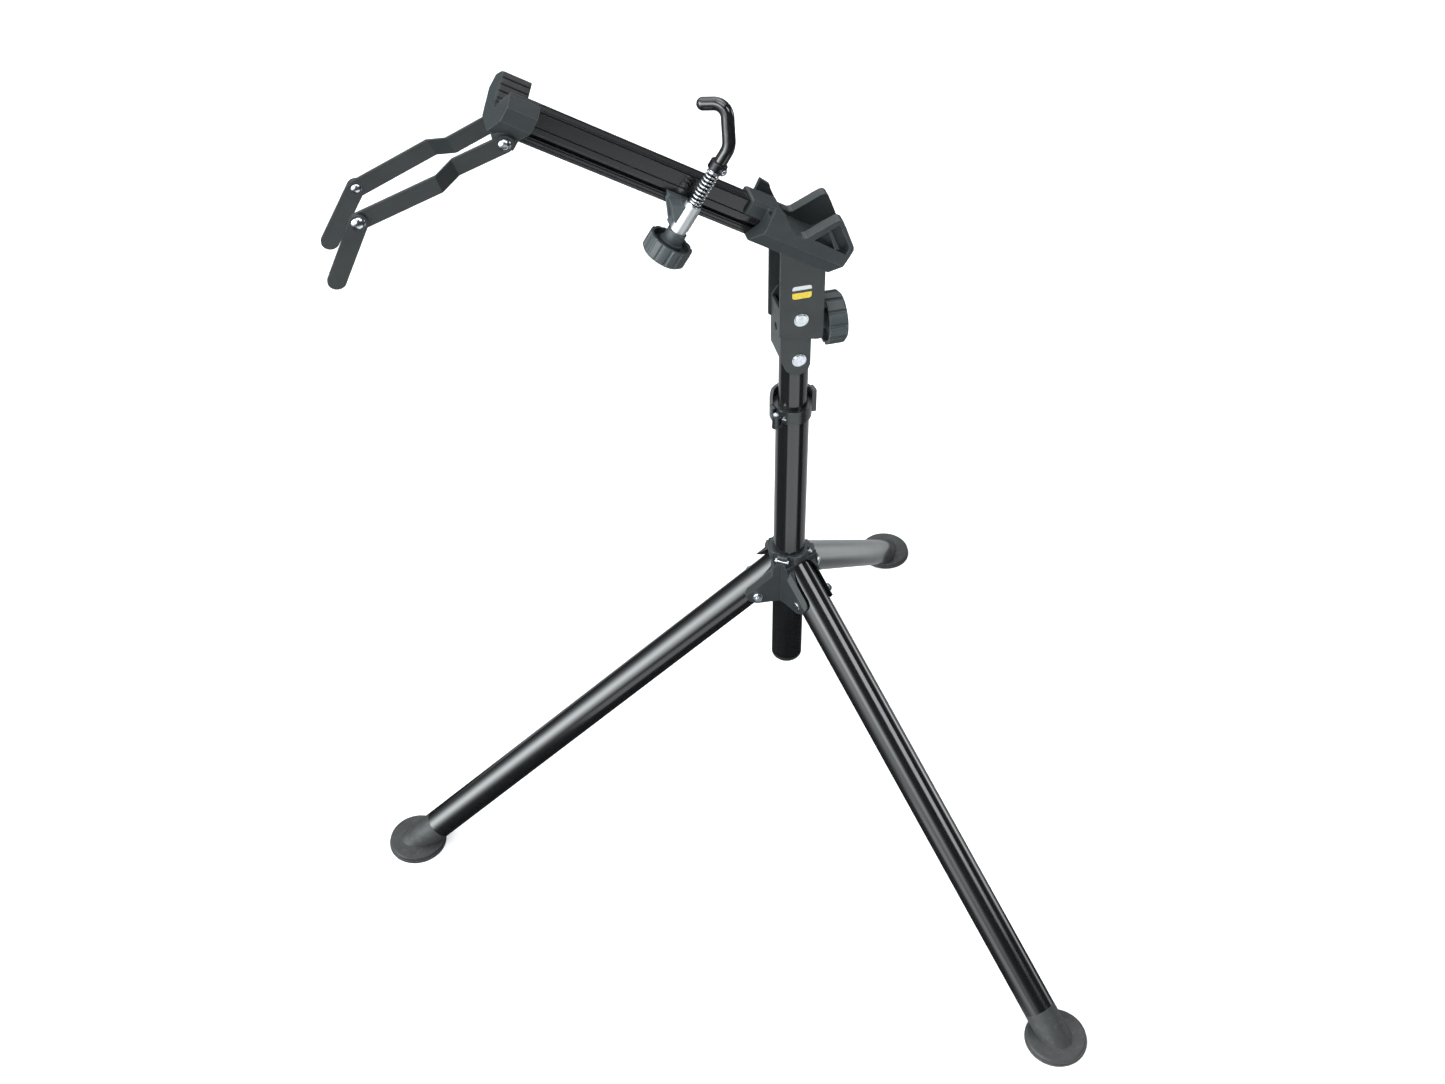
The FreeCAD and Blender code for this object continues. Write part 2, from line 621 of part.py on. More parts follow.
# +Y half of the hollow: (y, n)
HOLLOW_HALF = [(8.8, -2.4), (8.8, -14.0), (5.0, -19.0), (5.0, RAIL_FLOOR)]


def saddle_pin():
    """Pin up through the rail floor into the saddle block's spigot."""
    return cylinder(2.0, 7.5, (RAIL_U0 + 14.0, 0, RAIL_BOT))


def rail_extrusion():
    extrusion = prism_x(mirrored(RAIL_HALF), RAIL_U0, RAIL_U1)
    # shallow twin groove along the top face
    for y in (-5.6, 5.6):
        extrusion = extrusion.cut(box(RAIL_U0 - 1, RAIL_U1 + 1, y - 0.9, y + 0.9, -0.9, 1))
    extrusion = extrusion.cut(prism_x(mirrored(HOLLOW_HALF), RAIL_U0 - 1, RAIL_U1 + 1))
    extrusion = extrusion.cut(box(NOTCH_U, RAIL_U1 + 1, -20, 20, NOTCH_N, 1))
    for u in CRADLE_BOLT_U:
        extrusion = extrusion.cut(cylinder(CRADLE_BOLT_R, 6.0, (u, 0, RAIL_BOT - 1)))
    return extrusion.cut(saddle_pin()).removeSplitter()


# -------------------------------------------------------- cradle (rail frame)
CRADLE_HW = 32.0
# side view of the cradle: (u, n)
CRADLE_OUTLINE = [
    (-43.7, 10.2), (-31.0, 8.6), (-27.5, 5.0), (-13.0, -5.4), (-9.5, -6.8), (1.6, -6.8),
    (4.6, -5.2), (22.6, 23.6), (25.5, 26.2), (29.5, 26.2), (37.5, 20.5), (57.3, 5.4),
    (59.6, 2.0), (60.2, -8.0), (60.2, -19.0), (54.0, RAIL_BOT), (-48.0, RAIL_BOT),
    (-46.0, -30.0), (-40.0, -17.5),
]
# triangular pocket in each flank and the rib left across it: (u, n)
FLANK_POCKET = [(13.5, -4.4), (28.0, 20.4), (30.5, 20.0), (54.0, 2.4), (55.2, -5.0), (53.5, -6.0)]
POCKET_RIB = [(18.4, 12.8), (21.6, 13.6), (45.0, -3.6), (41.0, -6.2)]


def rail_channel(u0, u1, top):
    half = [(-RAIL_HU, top), (-RAIL_HU, -14.6), (-RAIL_HW, -15.6), (-RAIL_HW, RAIL_BOT - 1)]
    return prism_x(mirrored(half), u0, u1)


def cradle():
    section = [(-CRADLE_HW, 60), (-CRADLE_HW, -19.0), (-24.0, RAIL_BOT)]
    body = prism_y(CRADLE_OUTLINE, -CRADLE_HW, CRADLE_HW).common(
        prism_x(mirrored(section), -80, 80))

    # open interior between the walls, wider at the -u end beside the rail
    deck_n = 1.6
    interior = prism_y([(-60, deck_n), (NOTCH_U, deck_n), (NOTCH_U, -12.0), (33.0, -12.0),
                        (53.4, 12.9), (53.4, 60), (-60, 60)], -20.0, 20.0)
    wide_end = box(-60, -14.0, -27.6, 27.6, -2.4, 60)
    deck = box(-60, NOTCH_U, -19.0, 19.0, -3, deck_n)
    body = body.cut(interior).cut(wide_end.cut(deck))

    # block that grips the extrusion, its upper end edge bevelled
    block_half = [(-14.0, -14.4), (-16.2, -12.0), (-16.2, 0.2), (-13.4, 3.2)]
    block = prism_x(mirrored(block_half), -61.0, -36.0)
    body = body.fuse(block.cut(prism_y([(-61.5, 5), (-61.5, 1.0), (-58.5, 5)], -40, 40)))

    body = body.cut(rail_channel(-80, NOTCH_U, 0.0))
    body = body.cut(rail_channel(NOTCH_U - 0.01, RAIL_U1, NOTCH_N))

    for side in (-1, 1):
        pocket = prism_y(FLANK_POCKET, *span(side, CRADLE_HW + 1, CRADLE_HW - 7.0))
        rib = prism_y(POCKET_RIB, *span(side, CRADLE_HW - 0.8, CRADLE_HW - 7.5))
        body = body.cut(pocket.cut(rib))
    return largest(body.removeSplitter())


def cradle_bolt(u):
    """Up through the bracket plate and the extrusion floor."""
    head_h = 4.0
    return fuse(cylinder(CRADLE_BOLT_R, 11.0, (u, 0, PLATE_N)),
                hexagon(10.0, head_h, (u, 0, PLATE_N - head_h), Z_AXIS))


def cradle_nut(u):
    nut = hexagon(8.6, 4.0, (u, 0, RAIL_FLOOR), Z_AXIS)
    return nut.cut(cylinder(CRADLE_BOLT_R, 20, (u, 0, -40)))


# ------------------------------------------------------------------- rail lock
STUD_R = 3.5
STUD_X0, STUD_X1 = 16.4, 39.5
KNOB_X = 31.5           # -X face of the grooved disc
KNOB_R = 28.8
KNOB_T = 21.0


def lock_weld_nut():
    nut = hexagon(13.0, 3.2, (18.8, 0, LOCK_Z), X_AXIS)
    nut = nut.fuse(cylinder(5.0, 3.0, (22.0, 0, LOCK_Z), X_AXIS))
    return nut.cut(cylinder(STUD_R + 0.06, 30, (10, 0, LOCK_Z), X_AXIS)).removeSplitter()


def lock_stud():
    return cylinder(STUD_R, STUD_X1 - STUD_X0, (STUD_X0, 0, LOCK_Z), X_AXIS)


def lock_knob():
    knob = cylinder(KNOB_R, KNOB_T, (KNOB_X, 0, LOCK_Z), X_AXIS)
    knob = knob.fuse(cylinder(9.0, 6.0, (KNOB_X - 5.6, 0, LOCK_Z), X_AXIS))
    knob = chamfer(knob, 3.0, lambda e: is_circle(e) and abs(e.Curve.Radius - KNOB_R) < 0.01
                   and e.BoundBox.XMin > KNOB_X + 16)
    for i in range(12):
        angle = radians(30 * i + 15)
        # a narrow groove that widens outwards: (radius, distance from the axis)
        cutters = []
        for radius, reach in ((2.6, KNOB_R - 0.4), (3.4, KNOB_R + 2.2)):
            base = (KNOB_X - 6, reach * cos(angle), LOCK_Z + reach * sin(angle))
            cutters.append(cylinder(radius, 30, base, X_AXIS))
        knob = knob.cut(fuse(*cutters))
    # annular recess on the -X face, then the stud hole
    knob = knob.cut(tube(KNOB_R - 4.0, 11.0, 5.0, (KNOB_X, 0, LOCK_Z), X_AXIS))
    knob = knob.cut(cylinder(STUD_R, STUD_X1, (0, 0, LOCK_Z), X_AXIS))
    return knob.removeSplitter()


# --------------------------------------------------------- saddle (rail frame)
SADDLE_U0, SADDLE_U1 = -337.0, -305.5
SLOPE_TOP, SLOPE_FOOT = (23.0, 9.0), (2.6, -16.5)   # +Y slope of the trough, (y, n)
ARM_U, ARM_N = -319.6, -37.4                        # guide arm pivot
ARM_PIVOT_R = 3.0
LUG_R = 9.4


def saddle_block():
    # -Y half of the V block from the trough floor outwards: (y, n)
    half = [(-SLOPE_FOOT[0], SLOPE_FOOT[1]), (-SLOPE_TOP[0], SLOPE_TOP[1]),
            (-32.3, 0.2), (-32.5, -14.5), (-14.5, -35.4)]
    block = prism_x(mirrored(half), SADDLE_U0, SADDLE_U1)
    # the lower edge of the +u end is swept back
    block = block.cut(prism_y([(SADDLE_U1 + 1, -16.0), (SADDLE_U1 - 3.6, RAIL_BOT - 4),
                               (SADDLE_U1 + 1, RAIL_BOT - 4)], -50, 50))
    # lug for the arm pivots, and a bar beside it
    lug = fuse(y_cylinder(LUG_R, -21.2, 21.2, ARM_U, ARM_N),
               box(ARM_U - LUG_R, ARM_U + LUG_R, -15.5, 15.5, ARM_N, -30.0))
    bar = box(ARM_U + 6.0, ARM_U + 14.0, -15.0, 15.0, -44.0, -30.0)
    block = block.fuse(lug).fuse(bar)
    block = block.cut(y_cylinder(ARM_PIVOT_R, -40, 40, ARM_U, ARM_N))
    # the block wraps the end of the extrusion, with a spigot into its hollow
    block = block.cut(prism_x(mirrored(RAIL_HALF), RAIL_U0, RAIL_U0 + 40))
    spigot_half = [(8.7, -2.5), (8.7, -13.6), (4.9, -19.0), (4.9, -31.7)]
    spigot = prism_x(mirrored(spigot_half), RAIL_U0, RAIL_U0 + 26.0)
    block = block.fuse(spigot).removeSplitter()
    return largest(block.cut(saddle_pin()))


def saddle_liners():
    """Ribbed strip on each slope of the saddle."""
    dy = SLOPE_FOOT[0] - SLOPE_TOP[0]
    dn = SLOPE_FOOT[1] - SLOPE_TOP[1]
    length = sqrt(dy * dy + dn * dn)
    down_y, down_n = dy / length, dn / length
    base_t, rib_t, pitch, groove = 1.6, 3.4, 6.4, 1.3
    start, ribs, bevel, tail = 0.4, 4, 0.5, 2.4

    # (distance down the slope, height above it)
    line = [(start, 0.0)]
    for i in range(ribs):
        rib0 = start + i * pitch
        rib1 = rib0 + pitch - groove
        if i > 0:
            line.append((rib0, base_t))
        line += [(rib0, rib_t - bevel), (rib0 + bevel, rib_t), (rib1 - bevel, rib_t),
                 (rib1, rib_t - bevel), (rib1, base_t)]
    end = start + ribs * pitch + tail
    line += [(end, base_t), (end, 0.0)]

    outline = [(SLOPE_TOP[0] + down_y * along + down_n * height,
                SLOPE_TOP[1] + down_n * along - down_y * height) for along, height in line]
    return [prism_x([(side * y, z) for y, z in outline], SADDLE_U0 + 0.8, RAIL_U0 - 0.3)
            for side in (1, -1)]


# ----------------------------------------------------- guide arms (rail frame)
ARM_L = 151.0           # between the holes
ARM_W = 18.0            # strip width
ARM_T = 3.0
ARM_Y1 = 23.0           # strip centre, inner part
ARM_Y2 = 37.9           # strip centre, outer part
JOGGLE = (49.0, 68.0)   # start and end of the joggle from the pivot
TIP_L = 64.6
TIP_Y = ARM_Y2 + ARM_T + 0.1
RIVET_R = 2.5
# name: (side, arm angle, tip angle), degrees below the rail line
ARMS = {"near": (-1, 51.5, 95.5), "far": (1, 55.7, 90.7)}


def round_strip(length, y0, y1):
    """Round-ended bar along -u from the origin."""
    half_w = ARM_W / 2
    return fuse(y_cylinder(half_w, y0, y1, 0, 0), box(-length, 0, y0, y1, -half_w, half_w),
                y_cylinder(half_w, y0, y1, -length, 0))


def arm_pivot_bolt(side):
    seat = side * (ARM_Y1 + ARM_T / 2 + 0.1)
    bolt = y_cylinder(ARM_PIVOT_R, *sorted((side * 4.0, seat)), ARM_U, ARM_N)
    return bolt.fuse(dome_head(6.2, 4.6, (ARM_U, seat, ARM_N), (0, side, 0))).removeSplitter()


def guide_arm(side, arm_angle):
    """Strip joggled outwards on its way from the pivot, then turned down."""
    half_w, half_t = ARM_W / 2, ARM_T / 2
    bend0, bend1 = JOGGLE
    # plan view (u, y)
    plan = [(half_w, ARM_Y1 - half_t), (-bend0, ARM_Y1 - half_t), (-bend1, ARM_Y2 - half_t),
            (-ARM_L - half_w, ARM_Y2 - half_t), (-ARM_L - half_w, ARM_Y2 + half_t),
            (-bend1 - 1.0, ARM_Y2 + half_t), (-bend0 - 1.0, ARM_Y1 + half_t),
            (half_w, ARM_Y1 + half_t)]
    arm = prism_z([(x, side * y) for x, y in plan], -half_w, half_w)
    arm = arm.common(round_strip(ARM_L, -60, 60))
    arm = arm.cut(y_cylinder(ARM_PIVOT_R + 0.06, -60, 60, 0, 0))
    arm = arm.cut(y_cylinder(RIVET_R, -60, 60, -ARM_L, 0))
    arm.rotate(Vector(0, 0, 0), Vector(0, 1, 0), -arm_angle)
    arm.translate(Vector(ARM_U, 0, ARM_N))
    return arm.removeSplitter()


def arm_end(arm_angle):
    angle = radians(arm_angle)
    return (ARM_U - ARM_L * cos(angle), ARM_N - ARM_L * sin(angle))


def arm_tip(side, arm_angle, tip_angle):
    tip = round_strip(TIP_L, *span(side, TIP_Y - ARM_T / 2, TIP_Y + ARM_T / 2))
    tip = tip.cut(y_cylinder(RIVET_R + 0.06, -80, 80, 0, 0))
    tip.rotate(Vector(0, 0, 0), Vector(0, 1, 0), -tip_angle)
    u, n = arm_end(arm_angle)
    tip.translate(Vector(u, 0, n))
    return tip


def arm_rivet(side, arm_angle):
    u, n = arm_end(arm_angle)
    inner = side * (ARM_Y2 - ARM_T / 2)
    outer = side * (TIP_Y + ARM_T / 2 + 0.1)
    shank = y_cylinder(RIVET_R, *sorted((inner, outer)), u, n)
    outer_head = rivet_head(7.0, 3.6, (u, outer, n), (0, side, 0))
    inner_head = rivet_head(5.4, 2.6, (u, inner, n), (0, -side, 0))
    return shank.fuse(outer_head).fuse(inner_head).removeSplitter()


# ----------------------------------------------------------- hook (rail frame)
HOOK_U, HOOK_Y = -121.6, -26.5      # rod axis
ROD_R = 4.0
ROD_HOLE_R = ROD_R + 0.08
GRIP_R = 6.6
SLEEVE_R = 8.4
SLEEVE_N0, SLEEVE_N1 = -52.0, -20.5
SLIDER_N = -50.0                    # underside of the slider
WIRE_R = 1.0
COIL_R = 6.1
COILS = 10.0
RING_N0, RING_N1 = 20.5, 30.0
RING_R = 9.0
GRIP_N = RING_N1 - 2.0              # the grip starts inside the clamp ring


def on_rod(radius, length, base_n):
    """Cylinder on the rod axis."""
    return cylinder(radius, length, (HOOK_U, HOOK_Y, base_n))


def hook_slider():
    """Gusset beside the rail, tongue in its side slot, half barrel and filling blocks."""
    face_y = -RAIL_HW - 0.08
    low = HOOK_U - 24.0
    high = HOOK_U + 14.0
    gusset = prism_y([(low, -23.0), (low, -30.0), (HOOK_U - 9.0, SLIDER_N),
                      (HOOK_U + 9.0, SLIDER_N), (high, -36.0), (high, -23.0)],
                     -RAIL_HW - 5.2, face_y)
    barrel = on_rod(SLEEVE_R + 1.8, 26.0, SLIDER_N)
    barrel = barrel.common(box(HOOK_U - 30, HOOK_U + 30, HOOK_Y + 1.5, 0, -60, 0))
    wing = prism_y([(HOOK_U - 22.0, -28.0), (HOOK_U - 5.0, -24.0), (HOOK_U - 5.0, -44.0),
                    (HOOK_U - 9.0, -44.0)], HOOK_Y - 3.5, face_y)
    tongue = box(low, high, face_y, -7.1, -26.5, -22.5)
    post = box(HOOK_U - 11.0, HOOK_U + 11.0, HOOK_Y + 1.5, -RAIL_HW - 3.0, SLIDER_N, -24.0)
    slider = gusset.fuse(tongue).fuse(barrel).fuse(wing).fuse(post)
    return largest(slider.cut(on_rod(SLEEVE_R, 60, -60.0)).removeSplitter())


def slider_sleeve():
    sleeve = on_rod(SLEEVE_R, SLEEVE_N1 - SLEEVE_N0, SLEEVE_N0)
    return sleeve.cut(on_rod(ROD_HOLE_R, 80, -60.0))


def spring_seat():
    return on_rod(7.8, 1.4, SLEEVE_N1 + 0.05).cut(on_rod(ROD_HOLE_R, 80, -60.0))


def hook_spring():
    """Compression spring between the seat and the clamp ring."""
    bottom = SLEEVE_N1 + 1.45
    rise = RING_N0 - 0.1 - bottom - 2 * WIRE_R
    helix = Part.makeHelix(rise / COILS, rise, COIL_R)
    helix.translate(Vector(HOOK_U, HOOK_Y, bottom + WIRE_R))
    first = helix.Edges[0]
    wire = Part.makeCircle(WIRE_R, first.valueAt(first.FirstParameter),
                           first.tangentAt(first.FirstParameter))
    return Part.Wire(helix.Edges).makePipeShell([Part.Wire([wire])], True, True)


# centre line of the rod: straight up, a first bend, then the hook over the rail
BEND_RADII = (20.0, 13.0)
LEAN = radians(35.5)        # first bend
TWIST = radians(35.0)       # the hook is turned this far in over the rail
SHANK_DIR = Vector(-sin(LEAN) * cos(TWIST), sin(LEAN) * sin(TWIST), cos(LEAN))
HOOK_DIR = Vector(-cos(LEAN) * cos(TWIST), cos(LEAN) * sin(TWIST), -sin(LEAN))
BEND_1 = Vector(HOOK_U, HOOK_Y, 47.2)
BEND_2 = BEND_1 + SHANK_DIR * 41.2
HOOK_END = BEND_2 + HOOK_DIR * 30.0     # end of the grip


def hook_bar(start_n, end, radius):
    """Round bar along the centre line, from start_n on the rod axis."""
    points = [Vector(HOOK_U, HOOK_Y, start_n), BEND_1, BEND_2, end]
    edges = []
    previous = points[0]
    for i, bend_r in enumerate(BEND_RADII, 1):
        back = unit(points[i - 1] - points[i])
        ahead = unit(points[i + 1] - points[i])
        half_angle = back.getAngle(ahead) / 2
        tangent_l = bend_r / tan(half_angle)
        arc_start = points[i] + back * tangent_l
        arc_end = points[i] + ahead * tangent_l
        bisector = unit(back + ahead)
        center = points[i] + bisector * (bend_r / sin(half_angle))
        edges.append(Part.LineSegment(previous, arc_start).toShape())
        edges.append(Part.Arc(arc_start, center - bisector * bend_r, arc_end).toShape())
        previous = arc_end
    edges.append(Part.LineSegment(previous, points[-1]).toShape())
    section = Part.Wire([Part.makeCircle(radius, points[0], unit(points[1] - points[0]))])
    return Part.Wire(edges).makePipeShell([section], True, False)


def hook_rod():
    return hook_bar(-71.0, HOOK_END - HOOK_DIR * 3.0, ROD_R)


def hook_grip():
    """Sleeve over the bent end of the rod, with a ball end."""
    ball_at = HOOK_END - HOOK_DIR * GRIP_R
    grip = hook_bar(GRIP_N, ball_at, GRIP_R).fuse(Part.makeSphere(GRIP_R, ball_at))
    return grip.cut(hook_rod()).removeSplitter()


# clamp ring screw: radial, -62 degrees from +u
RING_SCREW_ANGLE = radians(-62.0)
RING_SCREW_DIR = (cos(RING_SCREW_ANGLE), sin(RING_SCREW_ANGLE), 0)
RING_SCREW_R = 1.6
RING_SCREW_START = 4.0      # distances from the rod axis
RING_SCREW_SEAT = 10.2
BOSS_START = 6.6


def from_ring(distance):
    return (HOOK_U + distance * RING_SCREW_DIR[0], HOOK_Y + distance * RING_SCREW_DIR[1],
            RING_N0 + 4.4)


def ring_radial(radius, length, start):
    return cylinder(radius, length, from_ring(start), RING_SCREW_DIR)


def clamp_ring():
    ring = on_rod(RING_R, RING_N1 - RING_N0, RING_N0)
    ring = ring.cut(on_rod(ROD_R, 80, -20)).cut(on_rod(GRIP_R, 10, GRIP_N))
    ring = chamfer(ring, 0.8, lambda e: is_circle(e) and e.Curve.Radius > RING_R - 0.1)
    boss = ring_radial(4.2, RING_SCREW_SEAT - BOSS_START, BOSS_START)
    ring = ring.fuse(boss.cut(on_rod(6.7, 30, RING_N0 - 5))).removeSplitter()
    return ring.cut(ring_radial(RING_SCREW_R, 12, RING_SCREW_START))


def clamp_ring_screw():
    screw = ring_radial(RING_SCREW_R, RING_SCREW_SEAT - RING_SCREW_START, RING_SCREW_START)
    head = dome_head(3.2, 2.2, from_ring(RING_SCREW_SEAT), RING_SCREW_DIR)
    return screw.fuse(head).removeSplitter()


# hand knob on the rod under the slider
HAND_R = 23.4
HAND_N = -83.0          # underside of the grooved disc
CROWN_R = 70.0
GROOVES = 14


def insert_blank():
    return hexagon(13.0, 13.0, (HOOK_U, HOOK_Y, -76.0), Z_AXIS).fuse(
        on_rod(17.5, 5.0, -81.0)).removeSplitter()


def hook_knob_insert():
    return insert_blank().cut(on_rod(ROD_HOLE_R, 90, -100))


def hook_knob():
    knob = fuse(on_rod(10.2, 12.0, -64.06), on_rod(HAND_R, 19.0, HAND_N))
    knob = chamfer(knob, 2.0, lambda e: is_circle(e) and e.Curve.Radius > HAND_R - 0.1
                   and e.BoundBox.ZMax < HAND_N + 1)
    crown = Part.makeSphere(CROWN_R, Vector(HOOK_U, HOOK_Y, HAND_N + CROWN_R - 4.0))
    knob = knob.fuse(crown.common(on_rod(HAND_R - 3.0, 6.0, HAND_N - 6.0)))
    reach = HAND_R + 1.2
    for i in range(GROOVES):
        angle = radians(360.0 / GROOVES * i)
        base = (HOOK_U + reach * cos(angle), HOOK_Y + reach * sin(angle), -95.0)
        knob = knob.cut(cylinder(2.4, 40, base))
    # annular recess in the top face
    knob = knob.cut(tube(HAND_R - 3.5, 12.2, 7.0, (HOOK_U, HOOK_Y, -71.0)))
    knob = knob.removeSplitter()
    return knob.cut(on_rod(ROD_HOLE_R, 34.0, -86.0)).cut(insert_blank()).removeSplitter()


# ---------------------------------------------------------------------- export
os.makedirs("parts", exist_ok=True)

# pieces built in the model frame, one solid each
for build in (outer_mast_tube, mast_bottom_cap, mast_collar, collar_screw, collar_pin,
              collar_lever, guide_bush, inner_mast_tube, mast_head_plug, lower_bracket,
              rail_bracket, pivot_spacer, lock_weld_nut, lock_stud, lock_knob):
    write(build.__name__, build())

# pieces built in the rail frame
for build in (rail_extrusion, cradle, saddle_block, saddle_pin, hook_slider, slider_sleeve,
              spring_seat, hook_spring, hook_rod, hook_grip, clamp_ring, clamp_ring_screw,
              hook_knob, hook_knob_insert):
    write(build.__name__, to_rail(build()))

# pieces built in the leg frame: one file per leg, then one file for all three
blank_segment = hub_segment()
for leg in "abc":
    write("hub_segment_" + leg, trimmed_segment(blank_segment, leg))
    for build in (leg_tube, leg_top_plug, leg_foot):
        write(build.__name__ + "_" + leg, to_leg(build(), leg))
for build in (hub_clamp_screw, hub_clamp_nut, leg_pivot_bolt, leg_pivot_nut):
    write(build.__name__ + "s", *[to_leg(build(), leg) for leg in "abc"])
write("leg_pivot_washers",
      *[to_leg(leg_pivot_washer(side), leg) for leg in "abc" for side in (-1, 1)])

write("bracket_bolts", *[bracket_bolt(z, seat, tail) for z, seat, tail in BRACKET_BOLTS])
write("bracket_nuts", *[bracket_nut(z, seat) for z, seat, _ in BRACKET_BOLTS])
write("bracket_washers", *bracket_washers())
write("cradle_bolts", *[to_rail(cradle_bolt(u)) for u in CRADLE_BOLT_U])
write("cradle_nuts", *[to_rail(cradle_nut(u)) for u in CRADLE_BOLT_U])
write("saddle_liners", *[to_rail(liner) for liner in saddle_liners()])
write("arm_pivot_bolts", *[to_rail(arm_pivot_bolt(side)) for side in (-1, 1)])
for name, (side, arm_angle, tip_angle) in ARMS.items():
    write(name + "_arm", to_rail(guide_arm(side, arm_angle)))
    write(name + "_arm_tip", to_rail(arm_tip(side, arm_angle, tip_angle)))
    write(name + "_arm_rivet", to_rail(arm_rivet(side, arm_angle)))
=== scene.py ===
"""Looks for the folding repair stand: materials, head badge, clamp spring, floor, light and camera.

Metres, +Z up. The mast stands on the Z axis, three legs spread down and out from it, and the
rail crosses its head, sloping down towards +X. The badge and the clamp spring are on the -Y side.
"""
import bpy, bmesh, math
from mathutils import Vector, Matrix, Quaternion


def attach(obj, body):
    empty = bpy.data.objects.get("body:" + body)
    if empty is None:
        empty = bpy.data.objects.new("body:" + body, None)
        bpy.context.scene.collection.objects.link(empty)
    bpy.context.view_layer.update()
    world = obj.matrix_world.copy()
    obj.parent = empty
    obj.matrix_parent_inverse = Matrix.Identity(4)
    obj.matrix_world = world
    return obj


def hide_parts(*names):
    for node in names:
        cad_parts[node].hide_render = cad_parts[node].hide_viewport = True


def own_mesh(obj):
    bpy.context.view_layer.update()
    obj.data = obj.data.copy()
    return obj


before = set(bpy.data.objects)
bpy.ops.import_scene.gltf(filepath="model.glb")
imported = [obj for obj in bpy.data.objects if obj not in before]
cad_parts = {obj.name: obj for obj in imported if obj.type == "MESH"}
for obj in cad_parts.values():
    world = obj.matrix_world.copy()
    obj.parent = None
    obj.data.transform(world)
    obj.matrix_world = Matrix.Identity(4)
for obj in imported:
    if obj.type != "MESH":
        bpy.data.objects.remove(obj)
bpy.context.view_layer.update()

# ------------------------------------------------------------------ directions
RAIL_SLOPE = math.radians(32.3)
RAIL_HEIGHT = 0.930             # where the rail's origin lies on the mast axis
RAIL_COS, RAIL_SIN = math.cos(RAIL_SLOPE), math.sin(RAIL_SLOPE)
RAIL_ALONG = Vector((RAIL_COS, 0, -RAIL_SIN))
RAIL_NORMAL = Vector((RAIL_SIN, 0, RAIL_COS))

LEG_SLOPE = 41.5                # degrees below level
FIRST_LEG_AZIMUTH = 175.2
LEG_SPACING = 360 / 3


def rail_point(along, y, normal):
    """Rail coordinates in millimetres to the frame in metres."""
    return Vector(((along * RAIL_COS + normal * RAIL_SIN) / 1000,
                   y / 1000,
                   RAIL_HEIGHT + (-along * RAIL_SIN + normal * RAIL_COS) / 1000))


def heading(azimuth, elevation):
    """Unit direction from two angles in degrees."""
    azimuth, elevation = math.radians(azimuth), math.radians(elevation)
    return (math.cos(elevation) * math.cos(azimuth),
            math.cos(elevation) * math.sin(azimuth),
            math.sin(elevation))


